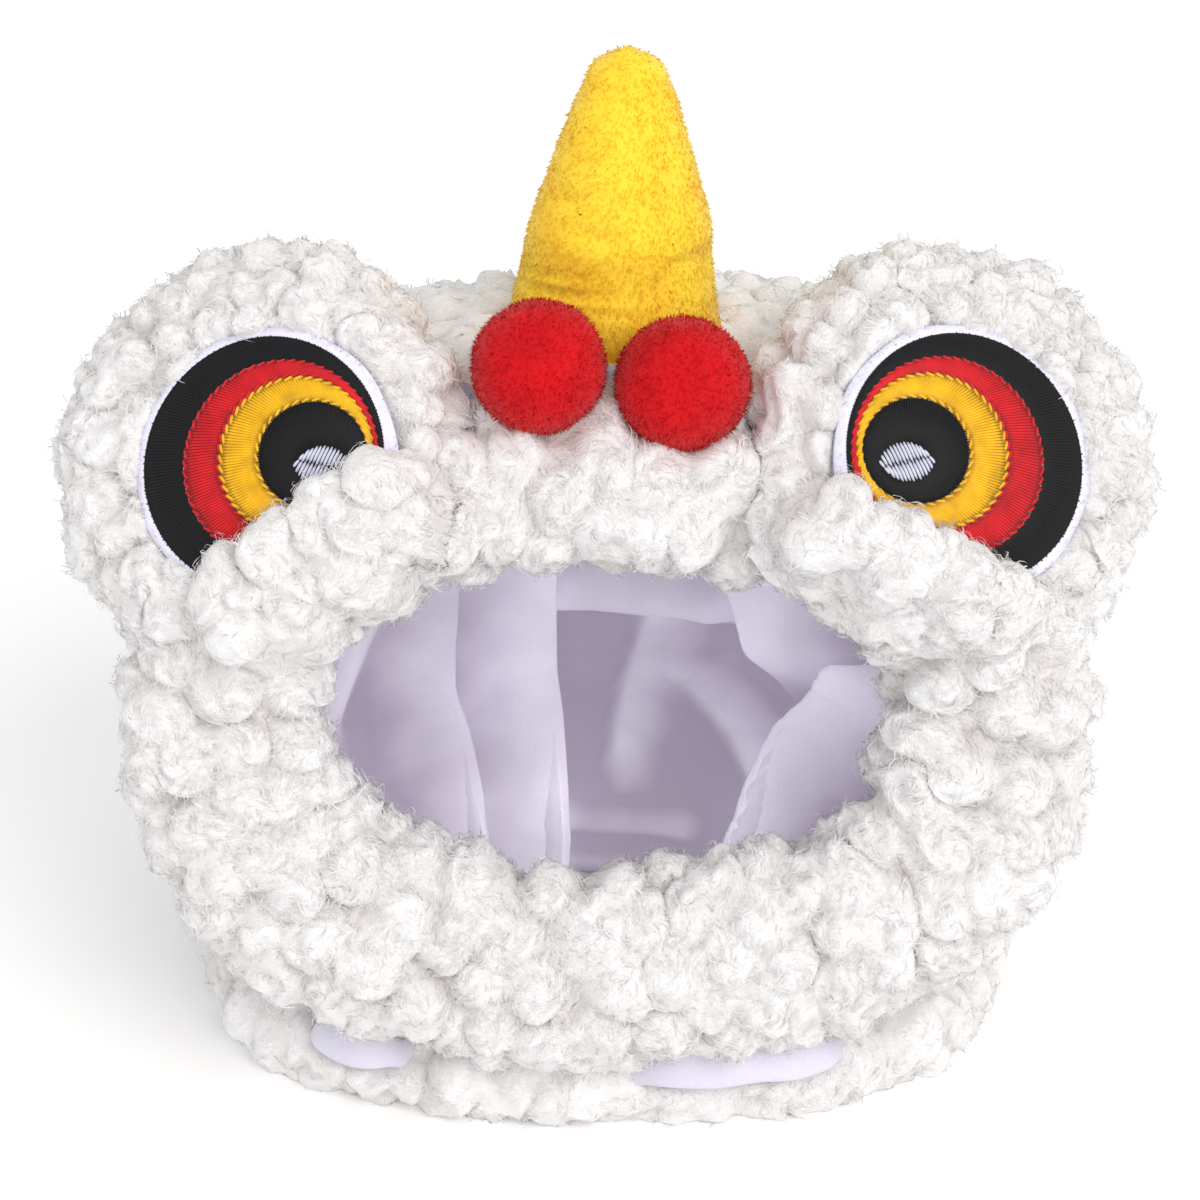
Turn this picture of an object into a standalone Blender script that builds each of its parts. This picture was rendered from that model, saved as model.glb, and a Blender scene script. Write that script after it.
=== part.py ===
"""Lion dance hat for a small pet: a curly fleece hood with a face opening, a padded ruff, a neck hem,
a folded fleece lining, two round eye pads with embroidered eyes, a plush horn and two felt pompoms.

Metres, +Z up, the face looks along -Y. The origin is the bottom centre of the whole hat.
"""

import math
from collections import namedtuple

import bmesh
import bpy
import numpy as np
from mathutils import Vector

# Clearances between pieces that touch
GAP = 0.0003
LINING_GAP = 0.0011

# Hood, measured over the tips of its curls
HOOD_WIDTH = 0.166
HOOD_HEIGHT = 0.128
HOOD_FRONT = 0.062
HOOD_BACK = 0.067
HOOD_SQUARENESS = 2.2
PILE_THICKNESS = 0.009
CURL_HEIGHT = 0.0026
CURL_UNEVENNESS = 0.35

# Face opening and the padded ruff round it
FACE_TILT = math.radians(17)
FACE_SETBACK = 0.043
FACE_CENTRE_HEIGHT = 0.0715
OPENING_WIDTH = 0.091
OPENING_HEIGHT = 0.049
OPENING_SQUARENESS = 2.3
RUFF_INSET = 0.002
RUFF_TOP_ROLL = 0.0295
RUFF_CHIN_ROLL = 0.036
RUFF_DEPTH = 0.013
RUFF_BACK_DEPTH = 0.009

# Neck opening and the hem round it
NECK_WIDTH = 0.104
NECK_LENGTH = 0.062
NECK_FORWARD = 0.010
NECK_SQUARENESS = 2.5
HEM_ROLL = 0.021
HEM_HEIGHT = 0.015
HEM_FLAT = 0.0035

# Lining and the strip of it that shows under the chin
LINING_WALL = 0.002
LINING_HANG = 0.0015
LINING_END = 140
LINING_MIDDLE = 98
LINING_BACK = 70
FOLD_DEPTH = 0.011
FACING_WIDTH = 0.008
FACING_THICKNESS = 0.0025
FACING_LEFT = math.radians(44)
FACING_RIGHT = math.radians(36)
FACING_RISE = math.radians(38)

# Eye pads and their felt patches
PAD_RADIUS = 0.0355
PAD_HALF_THICKNESS = 0.0135
PAD_SQUARENESS = 2.6
PAD_BEARING = math.radians(49)
PAD_OVERHANG = 0.001
PAD_SETBACK = 0.003
PAD_YAW = math.radians(25)
PAD_LOOK_UP = math.radians(37)
FELT_RADIUS = 0.0222
FELT_THICKNESS = 0.0012
THREAD_HEIGHT = 0.0008
EYE_RADIUS = 0.0206
EYE_SHIFT_LEFT = 0.0075
EYE_SHIFT_RIGHT = 0.0045
EYE_DROP = 0.0028

# Horn
HORN_HEIGHT = 0.0487
HORN_WIDTH = 0.0372
HORN_DEPTH = 0.034
HORN_OFFSET = 0.002
HORN_FORWARD = 0.008
HORN_SINK = 0.010

# Pompoms
POMPOM_RADIUS = 0.0113
POMPOM_TUFT = 0.0006
POMPOM_LEFT_RAISE = 0.0027
POMPOM_PERCH = 0.0047
POMPOM_OFFSET = 0.0008

# Mesh fineness
RUFF_STEPS = 52
RUFF_SECTION_STEPS = 12
HEM_STEPS = 40
HEM_SECTION_STEPS = 8
LINING_BACK_STEPS = 21
LINING_FRONT_STEPS = 11
LINING_UPPER_RINGS = 4
LINING_LOWER_RINGS = 6
PAD_STEPS = 20
RING_STEPS = 16
HORN_STEPS = 16

WHITE_CURLS = ((0.90, 0.89, 0.88, 1.0), 0.95)
LILAC_FLEECE = ((0.78, 0.76, 0.88, 1.0), 0.95)
LILAC_FELT = ((0.84, 0.83, 0.93, 1.0), 0.90)
BLACK_THREAD = ((0.010, 0.010, 0.012, 1.0), 0.45)
RED_THREAD = ((0.62, 0.012, 0.016, 1.0), 0.42)
GOLD_THREAD = ((0.80, 0.42, 0.010, 1.0), 0.40)
PALE_THREAD = ((0.72, 0.72, 0.84, 1.0), 0.42)
YELLOW_PLUSH = ((0.88, 0.56, 0.02, 1.0), 0.85)
RED_FELT = ((0.60, 0.005, 0.012, 1.0), 0.95)

# Hood sections from the crown down: turn is the angle from the crown in degrees, the rest are shares of
# the hood's height, half width, front reach and back reach
Section = namedtuple("Section", "turn height width front back")
HOOD_SECTIONS = [
    Section(0, 1.000, 0.00, 0.00, 0.00),
    Section(18, 0.984, 0.37, 0.50, 0.25),
    Section(36, 0.930, 0.66, 0.79, 0.46),
    Section(54, 0.836, 0.84, 0.93, 0.66),
    Section(72, 0.695, 0.95, 0.98, 0.83),
    Section(90, 0.531, 1.00, 1.00, 0.94),
    Section(108, 0.367, 1.00, 0.98, 1.00),
    Section(126, 0.227, 0.98, 0.94, 0.98),
    Section(144, 0.112, 0.94, 0.90, 0.88),
    Section(158, 0.048, 0.86, 0.83, 0.72),
    Section(170, 0.016, 0.60, 0.56, 0.48),
    Section(180, 0.000, 0.00, 0.00, 0.00),
]

# Rows of the lining below the hood's own sections: the turn that each one continues the bag with
LEDGE_TURN = 148
NECK_TURN = 155
SKIRT_TURN = 162
HANG_TURN = 172

# Folds of the lining: each is a ridge from a start to an end, as degrees round from the middle of the
# back (plus to the picture's right) and degrees down from the crown. Widths in degrees are those of
# its two flanks, to the left and to the right of its run, and the depth is a share of FOLD_DEPTH
Fold = namedtuple("Fold", "start_round start_down end_round end_down left right depth")
LINING_FOLDS = [
    Fold(-13, 100, -14, 168, 14, 5, 1.00),
    Fold(-28, 106, -30, 160, 12, 5, 0.55),
    Fold(-32, 104, -52, 134, 7, 9, 0.75),
    Fold(-6, 110, 15, 115, 10, 5, 0.60),
    Fold(27, 106, 33, 127, 12, 12, 0.85),
    Fold(8, 124, 3, 140, 6, 6, 0.55),
    Fold(3, 141, 40, 149, 6, 6, 0.55),
    Fold(4, 142, 20, 168, 7, 7, 0.70),
    Fold(60, 132, 38, 168, 15, 6, 1.00),
    Fold(-62, 60, -76, 120, 14, 8, 0.70),
    Fold(74, 58, 84, 116, 8, 14, 0.70),
    Fold(-20, 40, 24, 52, 14, 10, 0.60),
]

# Horn sections from base to tip: shares of its height, half width and half depth, then the sideways
# lean as a share of its width
HornSection = namedtuple("HornSection", "height width depth lean")
HORN_SECTIONS = [
    HornSection(0.00, 1.00, 1.00, -0.02),
    HornSection(0.14, 0.985, 0.98, -0.02),
    HornSection(0.28, 0.93, 0.93, -0.01),
    HornSection(0.38, 0.875, 0.85, 0.00),
    HornSection(0.46, 0.85, 0.86, 0.01),
    HornSection(0.60, 0.72, 0.74, 0.02),
    HornSection(0.75, 0.57, 0.58, 0.03),
    HornSection(0.88, 0.42, 0.43, 0.04),
    HornSection(0.96, 0.27, 0.28, 0.04),
]

# Outlines sewn on each felt patch: the centre's shift towards the horn and upwards, and the half width
# and half height, all as shares of EYE_RADIUS
Outline = namedtuple("Outline", "inward upward half_width half_height")
EYE_OUTLINES = {
    "black_ring": Outline(0.00, 0.00, 1.00, 1.00),
    "red_ring": Outline(0.155, 0.04, 0.80, 0.79),
    "gold_ring": Outline(0.28, 0.10, 0.625, 0.62),
    "pupil": Outline(0.42, 0.13, 0.44, 0.42),
    "glint": Outline(0.53, 0.06, 0.205, 0.155),
}
EYE_ORDER = list(EYE_OUTLINES)
EYE_MATERIALS = {
    "black_ring": BLACK_THREAD,
    "red_ring": RED_THREAD,
    "gold_ring": GOLD_THREAD,
    "pupil": BLACK_THREAD,
    "glint": PALE_THREAD,
}


def clear_scene():
    """Removes what the startup file holds."""
    for thing in list(bpy.data.objects):
        bpy.data.objects.remove(thing)


def new_collection(name, hidden=False):
    collection = bpy.data.collections.new(name)
    collection.hide_render = hidden
    bpy.context.scene.collection.children.link(collection)
    return collection


def material(name, finish):
    """A Principled BSDF with a colour and a roughness; one is made for each name."""
    found = bpy.data.materials.get(name)
    if found:
        return found
    colour, roughness = finish
    made = bpy.data.materials.new(name)
    made.use_nodes = True
    surface = made.node_tree.nodes["Principled BSDF"]
    surface.inputs["Base Color"].default_value = colour
    surface.inputs["Roughness"].default_value = roughness
    surface.inputs["Metallic"].default_value = 0.0
    made.diffuse_color = colour
    return made


def new_object(name, mesh, collection, finish=None):
    made = bpy.data.objects.new(name, mesh)
    collection.objects.link(made)
    if finish:
        mesh.materials.append(material(name, finish))
        mesh.shade_smooth()
    else:
        made.hide_render = True
        made.display_type = "WIRE"
    return made


def mesh_of(name, bm):
    bmesh.ops.recalc_face_normals(bm, faces=bm.faces)
    mesh = bpy.data.meshes.new(name)
    bm.to_mesh(mesh)
    bm.free()
    return mesh


def smooth(xs, ys, at):
    """Cubic curve through (xs, ys), read at the values in at."""
    xs, ys = np.asarray(xs, float), np.asarray(ys, float)
    at = np.asarray(at, float)
    slopes = np.gradient(ys, xs)
    i = np.clip(np.searchsorted(xs, at) - 1, 0, len(xs) - 2)
    span = xs[i + 1] - xs[i]
    t = np.clip((at - xs[i]) / span, 0.0, 1.0)
    start = (2 * t - 3) * t * t + 1
    start_slope = ((t - 2) * t + 1) * t
    end_slope = (t - 1) * t * t
    return (
        start * ys[i]
        + start_slope * span * slopes[i]
        + (1 - start) * ys[i + 1]
        + end_slope * span * slopes[i + 1]
    )


def column(rows, name):
    return [getattr(row, name) for row in rows]


def power(value, squareness):
    """The superellipse's rounding of a cosine or a sine."""
    return np.sign(value) * np.abs(value) ** (2.0 / squareness)


def hood_point(turn, bearing, inset=0.0):
    """A point of the hood's surface: turn is down from the crown and bearing is round from the middle
    of the back, both in radians; inset is how far inside the surface it lies."""
    degrees = np.degrees(turn)
    turns = column(HOOD_SECTIONS, "turn")
    height = HOOD_HEIGHT * smooth(turns, column(HOOD_SECTIONS, "height"), degrees)
    side = HOOD_WIDTH / 2 * smooth(turns, column(HOOD_SECTIONS, "width"), degrees)
    front = HOOD_FRONT * smooth(turns, column(HOOD_SECTIONS, "front"), degrees)
    back = HOOD_BACK * smooth(turns, column(HOOD_SECTIONS, "back"), degrees)
    across = power(np.sin(bearing), HOOD_SQUARENESS)
    along = power(np.cos(bearing), HOOD_SQUARENESS)
    reach = np.where(along > 0, back, front)
    point = np.stack([side * across, reach * along, height], axis=-1)
    centre = np.array([0.0, 0.0, HOOD_HEIGHT / 2])
    outward = point - centre
    length = np.linalg.norm(outward, axis=-1, keepdims=True)
    return point - outward * inset / length


def crown_height(x, y):
    """Height of the hood's upper surface above a point of the floor."""
    turns = np.linspace(0.0, math.pi / 2, 400)
    bearing = math.atan2(x, y)
    ring = hood_point(turns, np.full(turns.shape, bearing))
    reach = np.hypot(ring[:, 0], ring[:, 1])
    return float(np.interp(math.hypot(x, y), reach, ring[:, 2]))


def face_point(across, up, forward):
    """A point from the face opening's own axes: across to +X, up along its tilted plane, and forward."""
    across, up, forward = np.broadcast_arrays(across, up, forward)
    y = -FACE_SETBACK + up * math.sin(FACE_TILT) - forward * math.cos(FACE_TILT)
    z = FACE_CENTRE_HEIGHT + up * math.cos(FACE_TILT) + forward * math.sin(FACE_TILT)
    return np.stack([across, y, z], axis=-1)


def loop_frame(angle, half_width, up, down, squareness):
    """Points of an oval loop and its outward directions, in its own plane."""
    c, s = np.cos(angle), np.sin(angle)
    half_height = np.where(s > 0, up, down)
    x = half_width * power(c, squareness)
    y = half_height * power(s, squareness)
    slope = 2.0 - 2.0 / squareness
    nx = np.sign(c) * np.abs(c) ** slope / half_width
    ny = np.sign(s) * np.abs(s) ** slope / half_height
    length = np.hypot(nx, ny)
    return x, y, nx / length, ny / length


def even_angles(count, half_width, up, down, squareness):
    """Loop angles that space points evenly along an oval loop."""
    fine = np.linspace(0.0, 2 * math.pi, 1441)
    x, y, _, _ = loop_frame(fine, half_width, up, down, squareness)
    run = np.concatenate([[0.0], np.cumsum(np.hypot(np.diff(x), np.diff(y)))])
    return np.interp(np.arange(count) / count * run[-1], run, fine)


def ruff_point(angle, turn, grow=0.0):
    """A point of the ruff: angle goes round the face, turn goes round the roll from its outer side
    towards the front."""
    side_roll = (HOOD_WIDTH - OPENING_WIDTH) / 4 - RUFF_INSET / 2
    half_width = OPENING_WIDTH / 2 + side_roll
    up = (OPENING_HEIGHT + RUFF_TOP_ROLL) / 2
    down = (OPENING_HEIGHT + RUFF_CHIN_ROLL) / 2
    x, y, nx, ny = loop_frame(angle, half_width, up, down, OPENING_SQUARENESS)
    end_roll = np.where(ny > 0, RUFF_TOP_ROLL / 2, RUFF_CHIN_ROLL / 2)
    roll = side_roll + (end_roll - side_roll) * ny * ny + grow
    lateral = roll * power(np.cos(turn), 2.3)
    depth = np.where(np.sin(turn) > 0, RUFF_DEPTH, RUFF_BACK_DEPTH) + grow
    forward = depth * power(np.sin(turn), 2.3)
    return face_point(x + nx * lateral, y + ny * lateral, forward)


def hem_point(angle, turn, grow=0.0):
    """A point of the neck hem: angle goes round the neck, turn goes round the roll from its outer side
    upwards. Its underside is flat on the floor."""
    half_width = (NECK_WIDTH + HEM_ROLL) / 2
    half_length = (NECK_LENGTH + HEM_ROLL) / 2
    x, y, nx, ny = loop_frame(angle, half_width, half_length, half_length, NECK_SQUARENESS)
    lateral = (HEM_ROLL / 2 + grow) * power(np.cos(turn), 2.2)
    middle = HEM_HEIGHT / 2
    rise = (middle + grow + np.where(np.sin(turn) < 0, HEM_FLAT, 0.0)) * np.sin(turn)
    z = np.maximum(middle + rise, -grow)
    return np.stack([x + nx * lateral, y + ny * lateral - NECK_FORWARD, z], axis=-1)


def curl_depths(count, seed):
    """How deep each curl stands back from the outline, as a share of CURL_HEIGHT."""
    return np.random.default_rng(seed).uniform(0.0, CURL_UNEVENNESS, count)


def grid_mesh(grid, close_rows=True):
    """A band through a grid of points that wraps round its columns, and round its rows if closed. Each
    quad is split between its two odd points, so that an even point stands up by itself."""
    rows, columns = grid.shape[:2]
    bm = bmesh.new()
    verts = [[bm.verts.new(point) for point in row] for row in grid]
    last = rows if close_rows else rows - 1
    for i in range(last):
        for j in range(columns):
            k, n = (i + 1) % rows, (j + 1) % columns
            corners = [verts[i][j], verts[i][n], verts[k][n], verts[k][j]]
            if (i + j) % 2:
                corners = corners[1:] + corners[:1]
            a, b, c, d = corners
            bm.faces.new((a, b, d))
            bm.faces.new((b, c, d))
    return bm, verts


def capped_mesh(grid, first=None, last=None):
    """A loft through rings of points, closed at each end by a fan round a point or by one flat face."""
    bm, verts = grid_mesh(grid, close_rows=False)
    for ring, tip in ((verts[0], first), (verts[-1], last)):
        if tip is None:
            bm.faces.new(ring)
            continue
        apex = bm.verts.new(tip)
        for j in range(len(ring)):
            bm.faces.new((ring[j], ring[(j + 1) % len(ring)], apex))
    return bm


def roll_mesh(point, angles, section_steps, seed, covered):
    """A closed roll whose curls stand out at every second point, but not where covered says."""
    turns = np.arange(section_steps) * 2 * math.pi / section_steps
    angle, turn = np.meshgrid(angles, turns, indexing="ij")
    grid = point(angle, turn)
    i, j = np.indices(angle.shape)
    uneven = curl_depths(angle.size, seed).reshape(angle.shape)
    back = np.where((i + j) % 2 == 0, uneven, 1.0) * CURL_HEIGHT
    back = np.where(covered(angle, turn), 0.0, back)
    outward = grid - grid.mean(axis=1, keepdims=True)
    grid = grid - outward / np.linalg.norm(outward, axis=-1, keepdims=True) * back[..., None]
    return grid_mesh(grid)[0]


def subtract(target, *cutters):
    """Cuts each cutter from the target with an exact Boolean."""
    for cutter in cutters:
        cut = target.modifiers.new(cutter.name, "BOOLEAN")
        cut.operation = "DIFFERENCE"
        cut.solver = "EXACT"
        cut.object = cutter


def box_cutter(name, low, high, place, collection):
    """A box between two corners in a piece's own axes, set in place by a function."""
    bm = bmesh.new()
    bmesh.ops.create_cube(bm, size=1.0)
    for vert in bm.verts:
        share = np.array(vert.co) + 0.5
        corner = np.array(low) + share * (np.array(high) - np.array(low))
        vert.co = Vector(place(*corner))
    return new_object(name, mesh_of(name, bm), collection)


def neck_column(name, grow, height, collection):
    """An upright column with the outline of the hem, from under the floor up to a height."""
    count = 48
    half_width = NECK_WIDTH / 2 + HEM_ROLL + grow
    half_length = NECK_LENGTH / 2 + HEM_ROLL + grow
    angles = even_angles(count, half_width, half_length, half_length, NECK_SQUARENESS)
    x, y, _, _ = loop_frame(angles, half_width, half_length, half_length, NECK_SQUARENESS)
    rings = [
        np.stack([x, y - NECK_FORWARD, np.full(count, z)], axis=-1)
        for z in (-HEM_HEIGHT, height)
    ]
    return new_object(name, mesh_of(name, capped_mesh(np.array(rings))), collection)


def globe(name, steps, rings, inset, collection):
    """The hood's form as a smooth closed surface, a set distance inside its outline."""
    turns = np.linspace(0.0, math.pi, rings + 2)[1:-1]
    bearings = np.arange(steps) * 2 * math.pi / steps
    turn, bearing = np.meshgrid(turns, bearings, indexing="ij")
    grid = hood_point(turn, bearing, inset)
    top = hood_point(np.array(0.0), np.array(0.0), inset)
    bottom = hood_point(np.array(math.pi), np.array(0.0), inset)
    bm = capped_mesh(grid, first=top, last=bottom)
    return new_object(name, mesh_of(name, bm), collection)


def face_cutter(cutters):
    """All that lies in front of the ruff's back."""
    far = HOOD_WIDTH
    low, high = (-far, -far, -RUFF_BACK_DEPTH - GAP), (far, far, far)
    return box_cutter("face_cut", low, high, face_point, cutters)


def curly_hood(grow=0.0):
    """The hood's curly outline: an icosphere drawn out to the hood's form. Its own points and the
    middles of its faces are the tips of the curls, and the points between them lie lower."""
    bm = bmesh.new()
    bmesh.ops.create_icosphere(bm, subdivisions=3, radius=1.0)
    tips = [vert.co.copy() for vert in bm.verts] + [face.calc_center_median() for face in bm.faces]
    bmesh.ops.subdivide_edges(bm, edges=bm.edges, cuts=2)
    bmesh.ops.triangulate(bm, faces=bm.faces)
    places = np.array([vert.co for vert in bm.verts])
    away = np.array([np.abs(places - np.array(tip)).sum(axis=1) for tip in tips]).min(axis=0)
    directions = places / np.linalg.norm(places, axis=1, keepdims=True)
    turn = np.arccos(np.clip(directions[:, 2], -1.0, 1.0))
    bearing = np.arctan2(directions[:, 0], directions[:, 1])
    depth = np.where(away < 1e-4, curl_depths(len(places), seed=3), 1.0) * CURL_HEIGHT - grow
    for vert, point in zip(bm.verts, hood_point(turn, bearing, depth[:, None])):
        vert.co = point
    return bm


def hood_shell(parts, cutters, face):
    """The curly hood, hollowed, and opened at the face and at the neck."""
    bm = curly_hood()
    shell = new_object("hood_shell", mesh_of("hood_shell", bm), parts, WHITE_CURLS)
    cavity = globe("hood_cavity", 26, 11, PILE_THICKNESS, cutters)
    neck = neck_column("neck_cut", GAP, HEM_HEIGHT + GAP, cutters)
    subtract(shell, cavity, face, neck)
    return shell


def hood_envelope(cutters):
    """What stands on the hood is cut back to this: its curls with a gap round them."""
    return new_object("hood_envelope", mesh_of("hood_envelope", curly_hood(GAP)), cutters)


def ruff_angles(count):
    half_width = OPENING_WIDTH / 4 + HOOD_WIDTH / 4
    half_height = (OPENING_HEIGHT + RUFF_TOP_ROLL) / 2
    return even_angles(count, half_width, half_height, half_height, OPENING_SQUARENESS)


def curly_ruff(grow=0.0):
    """The ruff's outline, curly all round but for its flat back."""
    return roll_mesh(
        lambda angle, turn: ruff_point(angle, turn, grow),
        ruff_angles(RUFF_STEPS),
        RUFF_SECTION_STEPS,
        seed=5,
        covered=lambda angle, turn: np.sin(turn) < -0.7,
    )


def face_ruff(parts):
    """The padded roll round the face."""
    return new_object("face_ruff", mesh_of("face_ruff", curly_ruff()), parts, WHITE_CURLS)


def ruff_envelope(cutters):
    """The ruff's curls with a gap round them."""
    return new_object("ruff_envelope", mesh_of("ruff_envelope", curly_ruff(GAP)), cutters)


def hem_angles(count):
    half_width = (NECK_WIDTH + HEM_ROLL) / 2
    half_length = (NECK_LENGTH + HEM_ROLL) / 2
    return even_angles(count, half_width, half_length, half_length, NECK_SQUARENESS)


def curly_hem(grow=0.0):
    """The hem's outline, curly but for its flat underside."""
    return roll_mesh(
        lambda angle, turn: hem_point(angle, turn, grow),
        hem_angles(HEM_STEPS),
        HEM_SECTION_STEPS,
        seed=7,
        covered=lambda angle, turn: np.sin(turn) < -0.5,
    )


def neck_hem(parts, ruff_cut):
    """The curly roll round the neck opening that the hat stands on."""
    hem = new_object("neck_hem", mesh_of("neck_hem", curly_hem()), parts, WHITE_CURLS)
    subtract(hem, ruff_cut)
    return hem


def hem_envelope(cutters):
    """The hem's curls with a gap round them."""
    return new_object("hem_envelope", mesh_of("hem_envelope", curly_hem(GAP)), cutters)


def fold_depth(bearing, turn):
    """How far the lining's folds stand into the hood at a place."""
    around, down = np.degrees(bearing), np.degrees(turn)
    depth = np.zeros(around.shape)
    for fold in LINING_FOLDS:
        run_round = fold.end_round - fold.start_round
        run_down = fold.end_down - fold.start_down
        length = math.hypot(run_round, run_down)
        offset_round, offset_down = around - fold.start_round, down - fold.start_down
        along = (offset_round * run_round + offset_down * run_down) / length**2
        past = (along - np.clip(along, 0.0, 1.0)) * length
        beside = (offset_round * run_down - offset_down * run_round) / length
        width = np.where(beside < 0, fold.left, fold.right)
        away = np.hypot(beside / width, past / min(fold.left, fold.right))
        depth = np.maximum(depth, fold.depth * np.exp(-2.0 * away**2))
    return depth * FOLD_DEPTH


def lining_bearings():
    """Where the lining's columns stand: close together at the back, which shows through the face."""
    back = np.linspace(-LINING_BACK, LINING_BACK, LINING_BACK_STEPS)
    front = np.linspace(LINING_BACK, 360 - LINING_BACK, LINING_FRONT_STEPS + 2)[1:-1]
    return np.radians(np.concatenate([back, front]))


def neck_ring(inset, height):
    """A ring inside the neck opening, with the lining's points round it."""
    bearings = lining_bearings()
    across = (NECK_WIDTH / 2 - inset) * power(np.sin(bearings), NECK_SQUARENESS)
    along = (NECK_LENGTH / 2 - inset) * power(np.cos(bearings), NECK_SQUARENESS)
    return np.stack([across, along - NECK_FORWARD, np.full(bearings.shape, height)], axis=-1)


def lining_rings():
    """Rings of the lining: the bag from the crown down to the hem, then the skirt inside the hem."""
    bearings = lining_bearings()
    upper = np.linspace(0.0, LINING_MIDDLE, LINING_UPPER_RINGS + 1)[1:]
    lower = np.linspace(LINING_MIDDLE, LINING_END, LINING_LOWER_RINGS + 1)[1:]
    turns = np.radians(np.concatenate([upper, lower]))
    inset = PILE_THICKNESS + LINING_GAP + LINING_WALL
    turn, bearing = np.meshgrid(turns, bearings, indexing="ij")
    bag = hood_point(turn, bearing, inset)
    over_hem = HEM_HEIGHT + LINING_GAP + LINING_WALL
    bag[..., 2] = np.maximum(bag[..., 2], over_hem)
    beside_hem = LINING_GAP + LINING_WALL
    skirt = [
        (bag[-1] + neck_ring(0.0, over_hem)) / 2,
        neck_ring(0.0, over_hem),
        neck_ring(beside_hem, HEM_HEIGHT * 0.8),
        neck_ring(beside_hem, LINING_HANG),
    ]
    rings = np.concatenate([bag, skirt])
    skirt_turns = np.radians([LEDGE_TURN, NECK_TURN, SKIRT_TURN, HANG_TURN])
    turn, bearing = np.meshgrid(np.concatenate([turns, skirt_turns]), bearings, indexing="ij")
    bearing = np.where(bearing > math.pi, bearing - 2 * math.pi, bearing)
    inward = np.array([0.0, 0.0, HOOD_HEIGHT / 2]) - rings
    inward /= np.linalg.norm(inward, axis=-1, keepdims=True)
    inward[len(bag) + 2 :, :, 2] = 0.0
    return rings + inward * fold_depth(bearing, turn)[..., None], inset


def hood_lining(parts, face):
    """The fleece lining: a folded bag, open at the face and at the neck."""
    rings, inset = lining_rings()
    bm, verts = grid_mesh(rings, close_rows=False)
    apex = bm.verts.new(hood_point(np.array(0.0), np.array(0.0), inset))
    for near, far in zip(verts[0], verts[0][1:] + verts[0][:1]):
        bm.faces.new((near, far, apex))
    front = face_point(0.0, 0.0, LINING_WALL - RUFF_BACK_DEPTH)
    forward = face_point(0.0, 0.0, 1.0) - face_point(0.0, 0.0, 0.0)
    bmesh.ops.bisect_plane(
        bm,
        geom=list(bm.verts) + list(bm.edges) + list(bm.faces),
        dist=1e-6,
        plane_co=front,
        plane_no=forward,
        clear_outer=True,
    )
    lining = new_object("hood_lining", mesh_of("hood_lining", bm), parts, LILAC_FLEECE)
    wall = lining.modifiers.new("wall", "SOLIDIFY")
    wall.thickness = LINING_WALL
    wall.offset = 1.0
    wall.use_even_offset = False
    subtract(lining, face)
    return lining


def hem_facing(parts, ruff_cut, hem_cut):
    """The strip of lining that rolls out between the ruff and the hem under the chin."""
    steps, around = 16, 6
    angles = -math.pi / 2 + np.linspace(-FACING_LEFT, FACING_RIGHT, steps)
    centre = hem_point(angles, np.full(steps, FACING_RISE), 2 * GAP + FACING_THICKNESS / 2)
    inner = hem_point(angles, np.full(steps, FACING_RISE), 0.0)
    outward = centre - inner
    outward /= np.linalg.norm(outward, axis=1, keepdims=True)
    along = np.gradient(centre, axis=0)
    along /= np.linalg.norm(along, axis=1, keepdims=True)
    upward = np.cross(outward, along)
    taper = np.sqrt(np.clip(1 - (np.linspace(-1, 1, steps) * 0.97) ** 6, 0.0, 1.0))
    turns = np.arange(around) * 2 * math.pi / around
    rings = [
        centre
        + upward * (FACING_WIDTH / 2 * math.cos(turn) * taper)[:, None]
        + outward * (FACING_THICKNESS / 2 * math.sin(turn) * taper)[:, None]
        for turn in turns
    ]
    grid = np.array(rings).transpose(1, 0, 2)
    strip = new_object("hem_facing", mesh_of("hem_facing", capped_mesh(grid)), parts, LILAC_FLEECE)
    subtract(strip, ruff_cut, hem_cut)
    return strip


class EyePad:
    """One round eye pad: a pillow that stands at a corner of the ruff and looks up and outwards."""

    def __init__(self, side, name, eye_shift):
        self.side = side
        self.name = name
        self.eye_shift = eye_shift
        outer_width = HOOD_WIDTH / 2 - RUFF_INSET
        outer_height = OPENING_HEIGHT / 2 + RUFF_TOP_ROLL
        x, y, nx, ny = loop_frame(
            np.array(PAD_BEARING), outer_width, outer_height, outer_height, OPENING_SQUARENESS
        )
        self.centre = face_point(
            side * (x + nx * PAD_OVERHANG), y + ny * PAD_OVERHANG, -PAD_SETBACK
        )
        level = math.cos(PAD_LOOK_UP)
        self.facing = np.array(
            [side * math.sin(PAD_YAW) * level, -math.cos(PAD_YAW) * level, math.sin(PAD_LOOK_UP)]
        )
        self.inward = np.cross(self.facing, np.array([0.0, 0.0, 1.0])) * side
        self.inward /= np.linalg.norm(self.inward)
        self.upward = np.cross(self.inward, self.facing) * side
        self.upward /= np.linalg.norm(self.upward)

    def point(self, inward, upward, forward):
        """A point from the pad's own axes."""
        inward, upward, forward = np.broadcast_arrays(inward, upward, forward)
        return (
            self.centre
            + inward[..., None] * self.inward
            + upward[..., None] * self.upward
            + forward[..., None] * self.facing
        )

    @staticmethod
    def dome(radius):
        """Height of the pad's front over its middle plane at a distance from its centre."""
        share = np.clip(radius / PAD_RADIUS, 0.0, 1.0)
        return PAD_HALF_THICKNESS * (1 - share**PAD_SQUARENESS) ** (1 / PAD_SQUARENESS)

    def on_eye(self, inward, upward, lift):
        """A point over the pad's front, from the middle of its eye."""
        inward, upward = inward + self.eye_shift, upward - EYE_DROP
        return self.point(inward, upward, self.dome(np.hypot(inward, upward)) + lift)


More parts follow.
